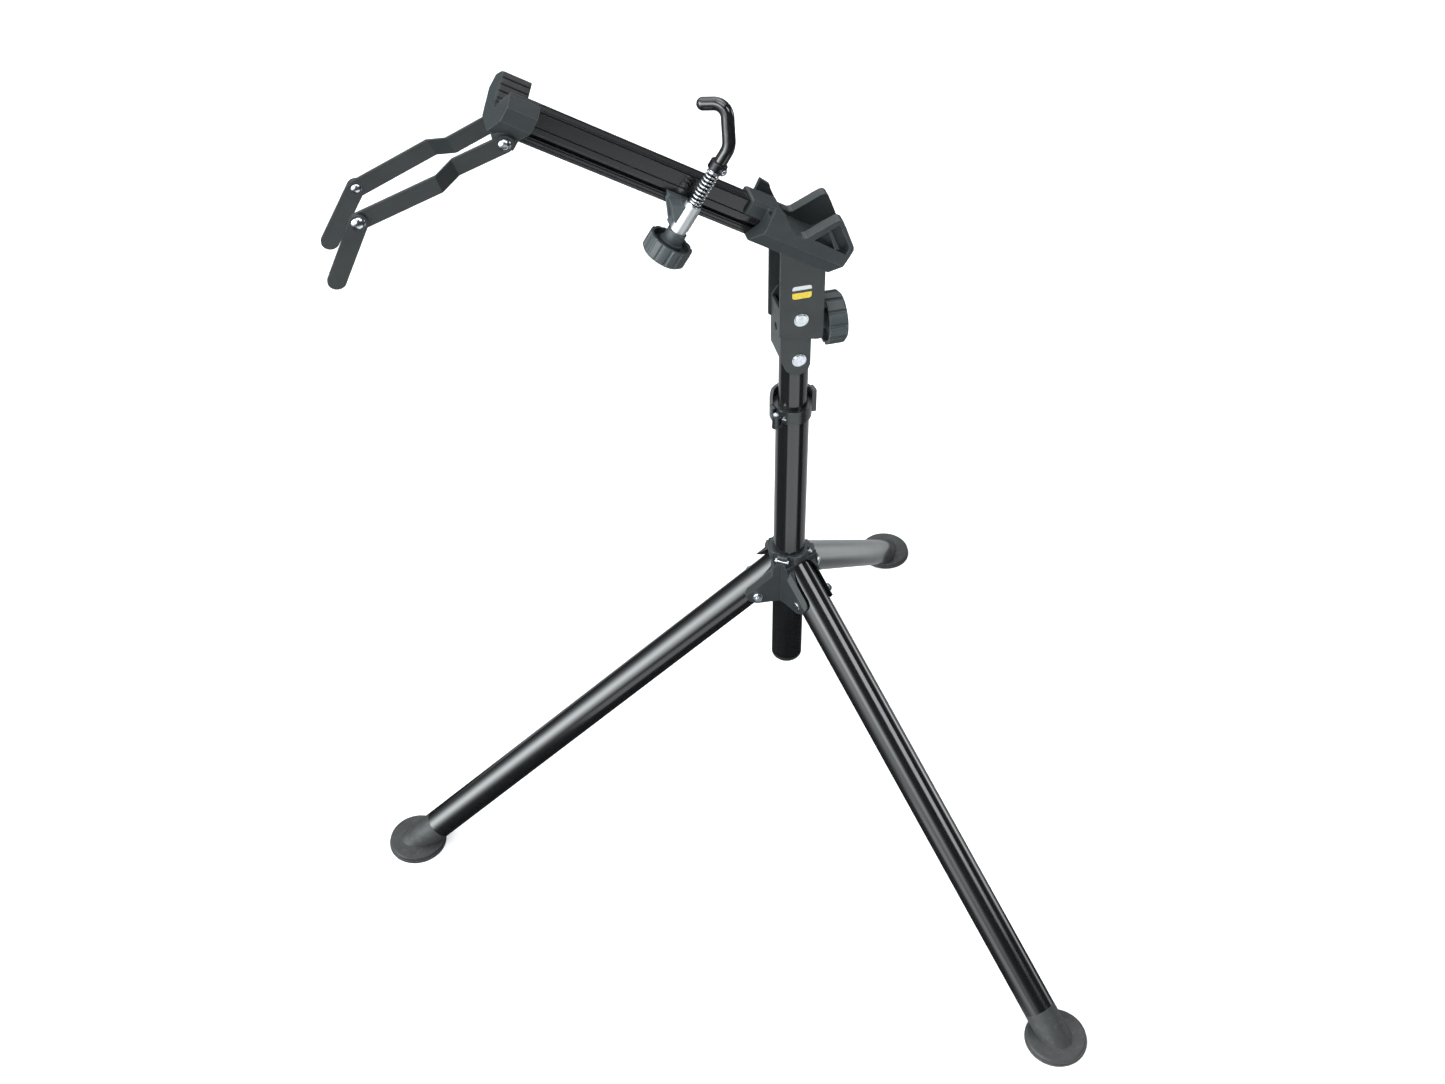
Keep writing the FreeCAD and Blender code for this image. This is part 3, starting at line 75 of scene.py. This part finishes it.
# ------------------------------------------------------------------ node building
class Graph:
    """Short calls that add nodes to a node tree. Each returns an output socket."""

    def __init__(self, tree, coordinates="Object"):
        self.tree = tree
        self.place = self.node("ShaderNodeTexCoord").outputs[coordinates]

    def node(self, kind, **settings):
        node = self.tree.nodes.new(kind)
        for key, value in settings.items():
            setattr(node, key, value)
        return node

    def put(self, socket, value):
        """Link a socket to an input, or set the input to a value."""
        if isinstance(value, bpy.types.NodeSocket):
            self.tree.links.new(value, socket)
        elif socket.type == "RGBA":
            socket.default_value = (*value, 1)
        else:
            socket.default_value = value

    def math(self, operation, a, b=None):
        node = self.node("ShaderNodeMath", operation=operation)
        self.put(node.inputs[0], a)
        if b is not None:
            self.put(node.inputs[1], b)
        return node.outputs[0]

    def times(self, a, b):
        return self.math("MULTIPLY", a, b)

    def plus(self, a, b):
        return self.math("ADD", a, b)

    def total(self, parts):
        result = parts[0]
        for part in parts[1:]:
            result = self.plus(result, part)
        return result

    def dot(self, a, b):
        node = self.node("ShaderNodeVectorMath", operation="DOT_PRODUCT")
        self.put(node.inputs[0], a)
        self.put(node.inputs[1], b)
        return node.outputs["Value"]

    def scaled(self, vector, scale):
        node = self.node("ShaderNodeVectorMath", operation="SCALE")
        self.put(node.inputs[0], vector)
        self.put(node.inputs["Scale"], scale)
        return node.outputs["Vector"]

    def along(self, axis, keep):
        """Coordinates squeezed along an axis, so that noise becomes long streaks."""
        axis = Vector(axis).normalized()
        part = self.scaled(axis, self.times(self.dot(self.place, axis), 1 - keep))
        node = self.node("ShaderNodeVectorMath", operation="SUBTRACT")
        self.put(node.inputs[0], self.place)
        self.put(node.inputs[1], part)
        return node.outputs["Vector"]

    def noise(self, scale, detail=2.0, rough=0.5, vector=None):
        node = self.node("ShaderNodeTexNoise")
        node.inputs["Scale"].default_value = scale
        node.inputs["Detail"].default_value = detail
        node.inputs["Roughness"].default_value = rough
        self.put(node.inputs["Vector"], vector or self.place)
        return node.outputs["Fac"]

    def voronoi(self, scale, feature="F1"):
        node = self.node("ShaderNodeTexVoronoi", feature=feature)
        node.inputs["Scale"].default_value = scale
        self.put(node.inputs["Vector"], self.place)
        return node.outputs["Distance"]

    def ramp(self, value, span, to=(0.0, 1.0), smooth=False):
        """Map the range span to the range to, clamped."""
        node = self.node("ShaderNodeMapRange", clamp=True)
        if smooth:
            node.interpolation_type = "SMOOTHSTEP"
        self.put(node.inputs["Value"], value)
        for key, limit in zip(("From Min", "From Max", "To Min", "To Max"), (*span, *to)):
            node.inputs[key].default_value = limit
        return node.outputs["Result"]

    def mix(self, factor, a, b):
        """Colour a where factor is 0, colour b where it is 1."""
        node = self.node("ShaderNodeMix", data_type="RGBA")
        for index, value in ((0, factor), (6, a), (7, b)):
            self.put(node.inputs[index], value)
        return node.outputs[2]

    def rounded(self, radius):
        """Normal with sharp edges rounded off."""
        node = self.node("ShaderNodeBevel", samples=3)
        node.inputs["Radius"].default_value = radius
        return node.outputs["Normal"]

    def edge_mask(self, normal):
        """High where the rounded normal leaves the true one, along sharp edges."""
        true_normal = self.node("ShaderNodeNewGeometry").outputs["Normal"]
        return self.ramp(self.dot(normal, true_normal), span=(0.998, 0.90))

    def bump(self, height, strength, distance, normal=None):
        node = self.node("ShaderNodeBump")
        node.inputs["Strength"].default_value = strength
        node.inputs["Distance"].default_value = distance
        self.put(node.inputs["Height"], height)
        if normal is not None:
            self.put(node.inputs["Normal"], normal)
        return node.outputs["Normal"]

    def emission(self, color, strength):
        node = self.node("ShaderNodeEmission")
        self.put(node.inputs["Color"], color)
        self.put(node.inputs["Strength"], strength)
        return node.outputs[0]


class Material(Graph):
    INPUTS = {"color": "Base Color", "rough": "Roughness", "metal": "Metallic",
              "normal": "Normal", "coat": "Coat Weight", "coat_rough": "Coat Roughness",
              "specular": "Specular IOR Level"}

    def __init__(self, name):
        self.material = bpy.data.materials.new(name)
        self.material.use_nodes = True
        super().__init__(self.material.node_tree)
        self.shader = self.tree.nodes["Principled BSDF"]

    def finish(self, **values):
        for key, value in values.items():
            self.put(self.shader.inputs[self.INPUTS[key]], value)
        return self.material


def tone(base, *factors):
    """Colour from a base brightness and a factor for each channel."""
    return tuple(base * factor for factor in factors)


# ------------------------------------------------------------------ material recipes
# base is a brightness or colour, rough the mean or lowest roughness
def anodised(name, axis, base=0.0045, rough=0.13, coat=0.5):
    """Glossy black tube with fine streaks along its axis and a painted highlight along its edges.
    """
    mat = Material(name)
    streaks = mat.along(axis, keep=0.004)
    fine = mat.noise(scale=900, detail=3, rough=0.6, vector=streaks)
    broad = mat.noise(scale=120, vector=streaks)
    smudge = mat.noise(scale=22, detail=4, rough=0.6)
    normal = mat.rounded(radius=0.0005)
    edge = mat.edge_mask(normal)
    roughness = mat.plus(mat.ramp(smudge, span=(0.35, 0.75), to=(rough, rough + 0.06)),
                         mat.ramp(fine, span=(0.4, 0.7), to=(0.0, 0.05)))
    color = mat.mix(mat.ramp(broad, span=(0.35, 0.7)),
                    tone(base, 1, 1.03, 1.12), tone(base, 1.9, 1.95, 2.1))
    # painted highlight: sharp edges lightened towards grey
    color = mat.mix(mat.times(edge, 0.55), color, (0.16, 0.165, 0.17))
    specks = mat.ramp(mat.noise(scale=2600, rough=0.6), span=(0.70, 0.78), to=(0, 0.25))
    color = mat.mix(specks, color, (0.05, 0.05, 0.055))
    height = mat.plus(mat.times(fine, 0.6), mat.times(broad, 0.6))
    return mat.finish(color=color, rough=roughness, coat=coat, coat_rough=0.07, specular=0.62,
                      normal=mat.bump(height, strength=0.06, distance=0.00012, normal=normal))


def powder(name, base=0.026, rough=0.38, wear_and_highlight=0.35, coat=0.0):
    """Powder coat with orange peel; the setting after rough is how far edges lighten towards grey,
    partly as rubbed wear and partly as a painted highlight.
    """
    mat = Material(name)
    normal = mat.rounded(radius=0.0007)
    edge = mat.edge_mask(normal)
    peel = mat.noise(scale=900)
    grain = mat.noise(scale=3800)
    wear = mat.noise(scale=140, detail=5, rough=0.7)
    cloud = mat.noise(scale=30, detail=4, rough=0.6)
    color = mat.mix(mat.ramp(cloud, span=(0.3, 0.7)),
                    tone(base, 0.86, 1.00, 1.05), tone(base, 1.16, 1.36, 1.42))
    color = mat.mix(mat.ramp(grain, span=(0.55, 0.8), to=(0, 0.35)),
                    color, tone(base, 2.2, 2.2, 2.3))
    # edges lightened towards grey: partly rubbed wear, partly a painted highlight
    worn_highlighted_edges = mat.times(edge, mat.ramp(wear, span=(0.50, 0.66), to=(0.15, 1.0)))
    color = mat.mix(mat.times(worn_highlighted_edges, wear_and_highlight), color, (0.26, 0.29, 0.30))
    roughness = mat.math("SUBTRACT",
                         mat.ramp(wear, span=(0.3, 0.75), to=(rough + 0.06, rough - 0.05)),
                         mat.times(edge, 0.08))
    height = mat.plus(mat.times(peel, 1.0), mat.times(grain, 0.25))
    return mat.finish(color=color, rough=roughness, specular=0.6, coat=coat, coat_rough=0.25,
                      normal=mat.bump(height, strength=0.20, distance=0.00016, normal=normal))


def moulded(name, base=0.030, rough=0.46, texture=2600, painted_edge_highlight=0.5, strength=0.30):
    """Textured nylon with scuffs, and edges lightened by a painted highlight."""
    mat = Material(name)
    normal = mat.rounded(radius=0.0009)
    edge = mat.edge_mask(normal)
    spark = mat.voronoi(texture, feature="SMOOTH_F1")
    grain = mat.noise(scale=texture * 0.6, detail=3, rough=0.6)
    cloud = mat.noise(scale=26, detail=4, rough=0.6)
    scratches = mat.noise(scale=420, detail=4, rough=0.75,
                          vector=mat.along((0.3, 0.5, 0.8), keep=0.15))
    scuff = mat.ramp(scratches, span=(0.60, 0.72), to=(0, 0.35))
    color = mat.mix(mat.ramp(cloud, span=(0.3, 0.7)),
                    tone(base, 0.84, 1.00, 1.06), tone(base, 1.12, 1.34, 1.42))
    color = mat.mix(mat.ramp(grain, span=(0.5, 0.8), to=(0, 0.3)),
                    color, tone(base, 1.9, 1.95, 2.05))
    color = mat.mix(mat.times(scuff, 0.5), color, tone(base, 2.4, 2.45, 2.5))
    # painted highlight: sharp edges lightened towards grey
    color = mat.mix(mat.times(edge, painted_edge_highlight), color, (0.22, 0.25, 0.26))
    roughness = mat.math("SUBTRACT",
                         mat.ramp(cloud, span=(0.3, 0.7), to=(rough + 0.05, rough - 0.05)),
                         mat.times(edge, 0.14))
    height = mat.plus(mat.times(spark, 0.7), mat.times(grain, 0.5))
    return mat.finish(color=color, rough=roughness, specular=0.5,
                      normal=mat.bump(height, strength=strength, distance=0.0002, normal=normal))


def rubber(name, base=0.030, rough=0.62, dust=0.5, texture=1500):
    """Matt porous rubber under a patchy film of dust, with a painted highlight along its edges."""
    mat = Material(name)
    normal = mat.rounded(radius=0.0008)
    edge = mat.edge_mask(normal)
    pores = mat.voronoi(texture)
    grain = mat.noise(scale=texture * 0.5, detail=4, rough=0.65)
    cloud = mat.noise(scale=38, detail=5, rough=0.65)
    patches = mat.noise(scale=190, detail=6, rough=0.75)
    color = mat.mix(mat.ramp(cloud, span=(0.3, 0.72)),
                    tone(base, 1, 1.02, 1.04), tone(base, 1.55, 1.58, 1.62))
    film = mat.times(mat.ramp(patches, span=(0.52, 0.74)), dust)
    color = mat.mix(mat.times(film, 0.5), color, (0.12, 0.122, 0.124))
    # painted highlight: sharp edges lightened towards grey
    color = mat.mix(mat.times(edge, 0.28), color, (0.14, 0.142, 0.145))
    height = mat.plus(mat.times(pores, 0.5), grain)
    return mat.finish(color=color, specular=0.42,
                      rough=mat.ramp(cloud, span=(0.3, 0.7), to=(rough + 0.1, rough - 0.08)),
                      normal=mat.bump(height, strength=0.35, distance=0.00025, normal=normal))


def plated(name, base=(0.74, 0.75, 0.77), rough=0.17, tint=(0.60, 0.63, 0.70), bevel=0.0005):
    """Bright metal clouded between base and tint, with dull spots."""
    mat = Material(name)
    grain = mat.noise(scale=1900, detail=3, rough=0.6)
    cloud = mat.noise(scale=260, detail=3, rough=0.55)
    spots = mat.ramp(mat.noise(scale=900, detail=5, rough=0.8), span=(0.66, 0.78), to=(0, 0.5))
    color = mat.mix(mat.ramp(cloud, span=(0.3, 0.72)), base, tint)
    color = mat.mix(spots, color, (0.40, 0.39, 0.37))
    roughness = mat.plus(mat.ramp(cloud, span=(0.3, 0.7), to=(rough, rough + 0.10)),
                         mat.times(spots, 0.25))
    return mat.finish(color=color, rough=roughness, metal=1.0,
                      normal=mat.bump(grain, strength=0.10, distance=0.00006,
                                      normal=mat.rounded(bevel)))


def turned(name, axis, base=(0.92, 0.93, 0.94), rough=0.42, pitch=0.0006):
    """Turned metal: fine rings round an axis."""
    mat = Material(name)
    distance = mat.dot(mat.place, axis.normalized())
    wobble = mat.times(mat.noise(scale=60), 0.0002)
    grooves = mat.math("SINE", mat.times(mat.plus(distance, wobble), 2 * math.pi / pitch), 0.0)
    rings = mat.noise(scale=2600, detail=4, rough=0.7,
                      vector=mat.scaled(axis.normalized(), distance))
    spots = mat.ramp(mat.noise(scale=300, detail=4, rough=0.7), span=(0.62, 0.75), to=(0, 0.35))
    color = mat.mix(mat.ramp(rings, span=(0.35, 0.65)), base, tone(0.82, *base))
    color = mat.mix(spots, color, (0.45, 0.45, 0.46))
    height = mat.plus(mat.times(grooves, 0.2), rings)
    return mat.finish(color=color, metal=1.0,
                      rough=mat.ramp(rings, span=(0.3, 0.7), to=(rough, rough + 0.14)),
                      normal=mat.bump(height, strength=0.18, distance=0.00005,
                                      normal=mat.rounded(radius=0.0004)))


def vinyl(name):
    """Glossy black dip with soft runs and small pits."""
    mat = Material(name)
    runs = mat.noise(scale=70, detail=3)
    pits = mat.ramp(mat.voronoi(700), span=(0.0, 0.16), to=(1, 0))
    cloud = mat.noise(scale=160, detail=4, rough=0.6)
    color = mat.mix(mat.ramp(cloud, span=(0.3, 0.7)), (0.006, 0.006, 0.007), (0.012, 0.012, 0.013))
    height = mat.math("SUBTRACT", mat.times(runs, 1.0), mat.times(pits, 0.06))
    return mat.finish(color=color, coat=0.6, coat_rough=0.05, specular=0.6,
                      rough=mat.ramp(cloud, span=(0.3, 0.7), to=(0.07, 0.14)),
                      normal=mat.bump(height, strength=0.35, distance=0.0012))


def badge_enamel():
    """Level stripes: yellow at the bottom, black, then light grey."""
    black_starts, grey_starts = (0.8512, 0.8515), (0.8546, 0.8549)     # heights of the blends
    mat = Material("badge_enamel")
    split = mat.node("ShaderNodeSeparateXYZ")
    mat.put(split.inputs[0], mat.place)
    # the stripes follow Z only; a weight on X would slant them
    height = mat.plus(mat.times(split.outputs["Z"], 1.0), mat.times(split.outputs["X"], 0.0))
    color = mat.mix(mat.ramp(height, black_starts), (0.75, 0.55, 0.02), (0.014, 0.014, 0.016))
    color = mat.mix(mat.ramp(height, grey_starts), color, (0.62, 0.63, 0.64))
    grime = mat.ramp(mat.noise(scale=700, detail=4, rough=0.7), span=(0.60, 0.75), to=(0, 0.25))
    color = mat.mix(grime, color, (0.2, 0.19, 0.15))
    cloud = mat.noise(scale=300, detail=3, rough=0.6)
    return mat.finish(color=color, coat=0.5, coat_rough=0.12,
                      rough=mat.ramp(cloud, span=(0.3, 0.7), to=(0.22, 0.34)),
                      normal=mat.bump(mat.noise(scale=600), strength=0.05, distance=0.0001))


# ------------------------------------------------------------------ materials on the pieces
MATERIALS = {
    "powder": powder("satin_powder_coat"),
    "arm": powder("arm_powder_coat", base=0.026, rough=0.34, wear_and_highlight=0.5),
    "collar": powder("collar_paint", base=0.011, rough=0.26, wear_and_highlight=0.45, coat=0.3),
    "grey": moulded("glass_filled_nylon"),
    "knob": moulded("knob_nylon", base=0.048, rough=0.48, texture=2200),
    "hub": moulded("hub_nylon", base=0.020, rough=0.42, texture=3000, strength=0.22),
    "slider": moulded("slider_nylon", base=0.075, rough=0.42, texture=2400),
    "black": moulded("black_nylon", base=0.012, rough=0.40, texture=3000, painted_edge_highlight=0.3),
    "pad": rubber("pad_rubber", base=0.028, rough=0.60),
    "foot": rubber("foot_rubber", base=0.030, rough=0.52, dust=0.8, texture=1100),
    "zinc": plated("bright_zinc"),
    "spring": plated("spring_wire", base=(0.80, 0.81, 0.83), rough=0.13,
                     tint=(0.66, 0.68, 0.72), bevel=0.0002),
    "ring": plated("blackened_ring", base=(0.05, 0.05, 0.055), rough=0.30,
                   tint=(0.03, 0.03, 0.033)),
    "brass": plated("brass_insert", base=(0.72, 0.52, 0.22), rough=0.28, tint=(0.58, 0.42, 0.18)),
    "sleeve": turned("turned_aluminium", RAIL_NORMAL),
    # the rod is given a dark turned finish; it shows between the spring's coils
    "rod": turned("dark_turned_rod", RAIL_NORMAL, base=(0.045, 0.047, 0.05), rough=0.3, pitch=0.00125),
    "vinyl": vinyl("dipped_vinyl"),
    "mast": anodised("anodised_mast", (0, 0, 1)),
    "rail": anodised("anodised_rail", RAIL_ALONG, base=0.0045, rough=0.15, coat=0.3),
}
for index, letter in enumerate("abc"):
    leg_axis = heading(FIRST_LEG_AZIMUTH + LEG_SPACING * index, -LEG_SLOPE)
    MATERIALS["leg_" + letter] = anodised("anodised_leg_" + letter, leg_axis)

# material: the pieces it covers; every other piece is zinc
COVERS = {
    "mast": "outer_mast_tube inner_mast_tube",
    "rail": "rail_extrusion",
    "leg_a": "leg_tube_a",
    "leg_b": "leg_tube_b",
    "leg_c": "leg_tube_c",
    "powder": "rail_bracket lower_bracket",
    "arm": "near_arm far_arm near_arm_tip far_arm_tip",
    "collar": "mast_collar collar_lever",
    "grey": "cradle saddle_block",
    "slider": "hook_slider",
    "knob": "lock_knob hook_knob",
    "hub": "hub_segment_a hub_segment_b hub_segment_c",
    "black": "mast_bottom_cap guide_bush mast_head_plug "
             "leg_top_plug_a leg_top_plug_b leg_top_plug_c",
    "pad": "saddle_liners",
    "foot": "leg_foot_a leg_foot_b leg_foot_c",
    "spring": "hook_spring",
    "ring": "clamp_ring",
    "brass": "hook_knob_insert",
    "sleeve": "slider_sleeve",
    "rod": "hook_rod",
    "vinyl": "hook_grip",
}
MATERIAL_OF = {piece: key for key, pieces in COVERS.items() for piece in pieces.split()}

for name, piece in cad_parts.items():
    piece.data.materials.clear()
    piece.data.materials.append(MATERIALS[MATERIAL_OF.get(name, "zinc")])


# ------------------------------------------------------------------ new pieces
def new_object(name, shape, material, offset=None, smooth=False):
    mesh = bpy.data.meshes.new(name)
    shape.to_mesh(mesh)
    shape.free()
    piece = bpy.data.objects.new(name, mesh)
    bpy.context.scene.collection.objects.link(piece)
    mesh.materials.append(material)
    if offset is not None:
        mesh.transform(Matrix.Translation(offset))
    if smooth:
        mesh.shade_smooth()
        mesh.set_sharp_from_angle(angle=math.radians(40))
    return piece


def badge_plate():
    """Thin upright plate with rounded corners, its face towards -Y and its back a little larger."""
    half_width, half_height, corner = 0.0105, 0.0078, 0.0030
    face_y, back_y, back_scale = -0.00012, 0.0002, 1.01
    outline = []
    for quarter, (sign_x, sign_z) in enumerate(((1, 1), (-1, 1), (-1, -1), (1, -1))):
        for step in range(7):
            angle = math.radians(90 * quarter + 15 * step)
            outline.append((sign_x * (half_width - corner) + corner * math.cos(angle),
                            sign_z * (half_height - corner) + corner * math.sin(angle)))
    shape = bmesh.new()
    face = [shape.verts.new((x, face_y, z)) for x, z in outline]
    back = [shape.verts.new((x * back_scale, back_y, z * back_scale)) for x, z in outline]
    shape.faces.new(face)
    for i in range(len(outline)):
        j = (i + 1) % len(outline)
        shape.faces.new((face[j], face[i], back[i], back[j]))
    bmesh.ops.recalc_face_normals(shape, faces=shape.faces)
    return shape


badge = new_object("head_badge", badge_plate(), badge_enamel(), offset=(0.0002, -0.0230, 0.8517))
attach(badge, "rail_head")

# The clamp spring sits round the rod between its seat and the clamp ring.
# Rail coordinates, millimetres.
SPRING_ALONG, SPRING_Y = -121.6, -26.5
SPRING_BOTTOM, SPRING_TOP = -19.02, 20.4
SPRING_LENGTH = SPRING_TOP - SPRING_BOTTOM
COIL_RADIUS, WIRE_RADIUS = 6.1, 1.0
OPEN_TURNS = 9


def spring_coil(steps_per_turn=36, wire_sides=10):
    """Compression spring whose first and last turns lie closed."""
    end_allowance = 4.2 * WIRE_RADIUS       # length the closed ends take
    closed_rise = 1.0 * WIRE_RADIUS         # extra rise of each closed turn
    steady_rise = 0.1 * WIRE_RADIUS         # rise every turn has
    open_rise = (SPRING_LENGTH - end_allowance) / OPEN_TURNS
    upward = Vector((0, 0, 1))
    shape = bmesh.new()
    rings = []
    for step in range((OPEN_TURNS + 2) * steps_per_turn + 1):
        turn = step / steps_per_turn
        angle = 2 * math.pi * turn
        opened = min(max(turn - 1.0, 0.0), OPEN_TURNS)
        closed = min(turn, 1.0) + max(turn - 1.0 - OPEN_TURNS, 0.0)
        height = (SPRING_BOTTOM + WIRE_RADIUS + open_rise * opened + steady_rise * turn
                  + closed_rise * closed)
        centre = Vector((SPRING_ALONG + COIL_RADIUS * math.cos(angle),
                         SPRING_Y + COIL_RADIUS * math.sin(angle), height))
        outward = Vector((math.cos(angle), math.sin(angle), 0))
        ring = []
        for side in range(wire_sides):
            around = 2 * math.pi * side / wire_sides
            point = (centre + outward * (WIRE_RADIUS * math.cos(around))
                     + upward * (WIRE_RADIUS * math.sin(around)))
            # the ends are ground flat
            ground = min(max(point.z, SPRING_BOTTOM), SPRING_TOP)
            ring.append(shape.verts.new(rail_point(point.x, point.y, ground)))
        rings.append(ring)
    for low, high in zip(rings, rings[1:]):
        for i in range(wire_sides):
            j = (i + 1) % wire_sides
            shape.faces.new((low[i], low[j], high[j], high[i]))
    shape.faces.new(rings[0][::-1])
    shape.faces.new(rings[-1])
    bmesh.ops.recalc_face_normals(shape, faces=shape.faces)
    return shape


spring = new_object("clamp_spring", spring_coil(), MATERIALS["spring"], smooth=True)
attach(spring, "hook_swivel")
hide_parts("hook_spring")
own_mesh(spring)

# ------------------------------------------------------------------ studio light
STUDIO_TINT = (0.93, 0.98, 1.0)
WHITE = (1, 1, 1)
# soft boxes round the stand: azimuth, elevation, spread in degrees, brightness
SOFT_BOXES = [
    (193, 17, 17, 8.5), (230, 22, 8, 6.0), (8, 2, 6, 5.5),
    (70, 34, 13, 1.6), (122, 46, 12, 3.0), (150, -8, 5, 0.4),
]
# sharp-edged boxes: azimuth, elevation, inner and outer radius in degrees, brightness
SHARP_BOXES = [(312, 40, 8.5, 12.0, 5.5), (40, 66, 13, 17, 2.4), (258, 62, 12, 17, 3.0)]
# light pools on the floor, as sectors seen from the mast:
# azimuth, half angle, half width of the blurred edge in degrees, brightness
FLOOR_POOLS = [(264, 39, 4, 1.25), (15, 36, 6, 0.45), (112, 30, 6, 0.55)]


def cos_span(outer, inner):
    """Cosines of two angles in degrees, as the span of a ramp."""
    return math.cos(math.radians(outer)), math.cos(math.radians(inner))


def studio_light(graph, direction):
    """Brightness of the studio in a direction."""
    parts = []
    for azimuth, elevation, spread, brightness in SOFT_BOXES:
        offset = graph.math("SUBTRACT", graph.dot(direction, heading(azimuth, elevation)), 1.0)
        falloff = graph.times(offset, 1.0 / math.radians(spread) ** 2)
        parts.append(graph.times(graph.math("EXPONENT", falloff), brightness))
    for azimuth, elevation, inner, outer, brightness in SHARP_BOXES:
        parts.append(graph.ramp(graph.dot(direction, heading(azimuth, elevation)),
                                span=cos_span(outer, inner), to=(0.0, brightness), smooth=True))
    return graph.total(parts)


def floor_pools(mat, position):
    """Brightness of the light pools, in a ring round the mast."""
    split = mat.node("ShaderNodeSeparateXYZ")
    mat.put(split.inputs[0], position)
    x, y = split.outputs["X"], split.outputs["Y"]
    radius = mat.math("SQRT", mat.plus(mat.times(x, x), mat.times(y, y)), 0.0)
    ring = mat.times(mat.ramp(radius, span=(0.42, 0.56), smooth=True),
                     mat.ramp(radius, span=(2.4, 1.2), smooth=True))
    pools = []
    for azimuth, half, blur, brightness in FLOOR_POOLS:
        angle = math.radians(azimuth)
        reach = mat.plus(mat.times(x, math.cos(angle)), mat.times(y, math.sin(angle)))
        cosine = mat.math("DIVIDE", reach, mat.math("MAXIMUM", radius, 0.001))
        pools.append(mat.ramp(cosine, span=cos_span(half + blur, half - blur),
                              to=(0.0, brightness), smooth=True))
    return mat.times(ring, mat.total(pools))


def floor_material():
    """Pale floor that reflections see as studio light with pools."""
    ambient, camera_glow = 0.035, 0.42
    mat = Material("studio_floor")
    rays = mat.node("ShaderNodeLightPath").outputs
    geometry = mat.node("ShaderNodeNewGeometry").outputs
    color = mat.mix(mat.ramp(mat.noise(scale=3.0, detail=3), span=(0.3, 0.7)),
                    (0.84, 0.845, 0.85), (0.88, 0.88, 0.88))
    grain = mat.noise(scale=160, detail=4, rough=0.6)
    mat.finish(color=color, rough=0.75, specular=0.2,
               normal=mat.bump(grain, strength=0.05, distance=0.0006))

    ray = mat.scaled(geometry["Incoming"], -1.0)
    low_glow = mat.ramp(mat.dot(ray, heading(66, -36)), span=(0.88, 1.0), to=(0.0, 0.40))
    seen = mat.plus(mat.plus(studio_light(mat, ray), floor_pools(mat, geometry["Position"])),
                    mat.plus(low_glow, ambient))
    lit = mat.node("ShaderNodeAddShader")
    mat.put(lit.inputs[0], mat.shader.outputs[0])
    mat.put(lit.inputs[1], mat.emission(WHITE, mat.times(rays["Is Camera Ray"], camera_glow)))
    choice = mat.node("ShaderNodeMixShader")
    mat.put(choice.inputs[0], rays["Is Glossy Ray"])
    mat.put(choice.inputs[1], lit.outputs[0])
    mat.put(choice.inputs[2], mat.emission(STUDIO_TINT, seen))
    mat.put(mat.tree.nodes["Material Output"].inputs["Surface"], choice.outputs[0])
    # materials have no cycles settings when the Cycles add-on is off
    try:
        mat.material.cycles.emission_sampling = "NONE"
    except AttributeError:
        pass
    return mat.material


def build_world():
    """Plain white to the camera, studio light to every other ray."""
    world = bpy.data.worlds.new("studio")
    bpy.context.scene.world = world
    world.use_nodes = True
    graph = Graph(world.node_tree, coordinates="Generated")
    camera_ray = graph.node("ShaderNodeLightPath").outputs["Is Camera Ray"]
    ambient, camera_strength = 0.055, 1.0
    strength = graph.node("ShaderNodeMix", data_type="FLOAT")
    graph.put(strength.inputs[0], camera_ray)
    graph.put(strength.inputs[2], graph.plus(studio_light(graph, graph.place), ambient))
    graph.put(strength.inputs[3], camera_strength)
    background = graph.tree.nodes["Background"]
    graph.put(background.inputs["Color"], graph.mix(camera_ray, STUDIO_TINT, WHITE))
    graph.put(background.inputs["Strength"], strength.outputs[0])


plane = bmesh.new()
bmesh.ops.create_grid(plane, x_segments=2, y_segments=2, size=9)
floor = new_object("studio_floor", plane, floor_material(), offset=(0, 0, -0.0004))
build_world()

# ------------------------------------------------------------------ camera
ORBIT_CENTRE = Vector((0, 0, 0.450))
CAMERA_AZIMUTH, CAMERA_ELEVATION, CAMERA_DISTANCE = 252.8, 43.86, 2.020
# turns away from looking straight at the orbit centre, degrees
PAN, TILT, ROLL = 3.16, 0.48, 0.75

from_centre = Vector(heading(CAMERA_AZIMUTH, CAMERA_ELEVATION)) * CAMERA_DISTANCE
forward = -from_centre.normalized()
right = forward.cross(Vector((0, 0, 1))).normalized()
pan = Quaternion((0, 0, 1), math.radians(PAN))
forward.rotate(pan)
right.rotate(pan)
forward.rotate(Quaternion(right, math.radians(TILT)))
right.rotate(Quaternion(forward, math.radians(ROLL)))
up = right.cross(forward).normalized()

lens = bpy.data.cameras.new("camera")
lens.lens = 41.40622837
lens.sensor_width = 36.0
lens.sensor_fit = "HORIZONTAL"
lens.clip_start = 0.05
lens.clip_end = 60
camera = bpy.data.objects.new("camera", lens)
bpy.context.scene.collection.objects.link(camera)
turn = Matrix((right, up, -forward)).transposed().to_4x4()
camera.matrix_world = Matrix.Translation(from_centre + ORBIT_CENTRE) @ turn
bpy.context.scene.camera = camera

# ------------------------------------------------------------------ overhead light
level_right = Vector((right.x, right.y, 0)).normalized()
level_forward = Vector((forward.x, forward.y, 0)).normalized()
light = bpy.data.lights.new("top_soft", "AREA")
light.shape = "RECTANGLE"
light.size = light.size_y = 2.2
light.energy = 26
top_soft = bpy.data.objects.new("top_soft", light)
bpy.context.scene.collection.objects.link(top_soft)
light_place = level_right * 0.1 + level_forward * 0.2 + Vector((0, 0, 3.0))
light_target = Vector((0, 0, 0.5))
top_soft.location = light_place
top_soft.rotation_euler = (light_target - light_place).to_track_quat("-Z", "Y").to_euler()

bpy.context.scene.view_settings.view_transform = "Standard"
bpy.context.scene.view_settings.look = "None"
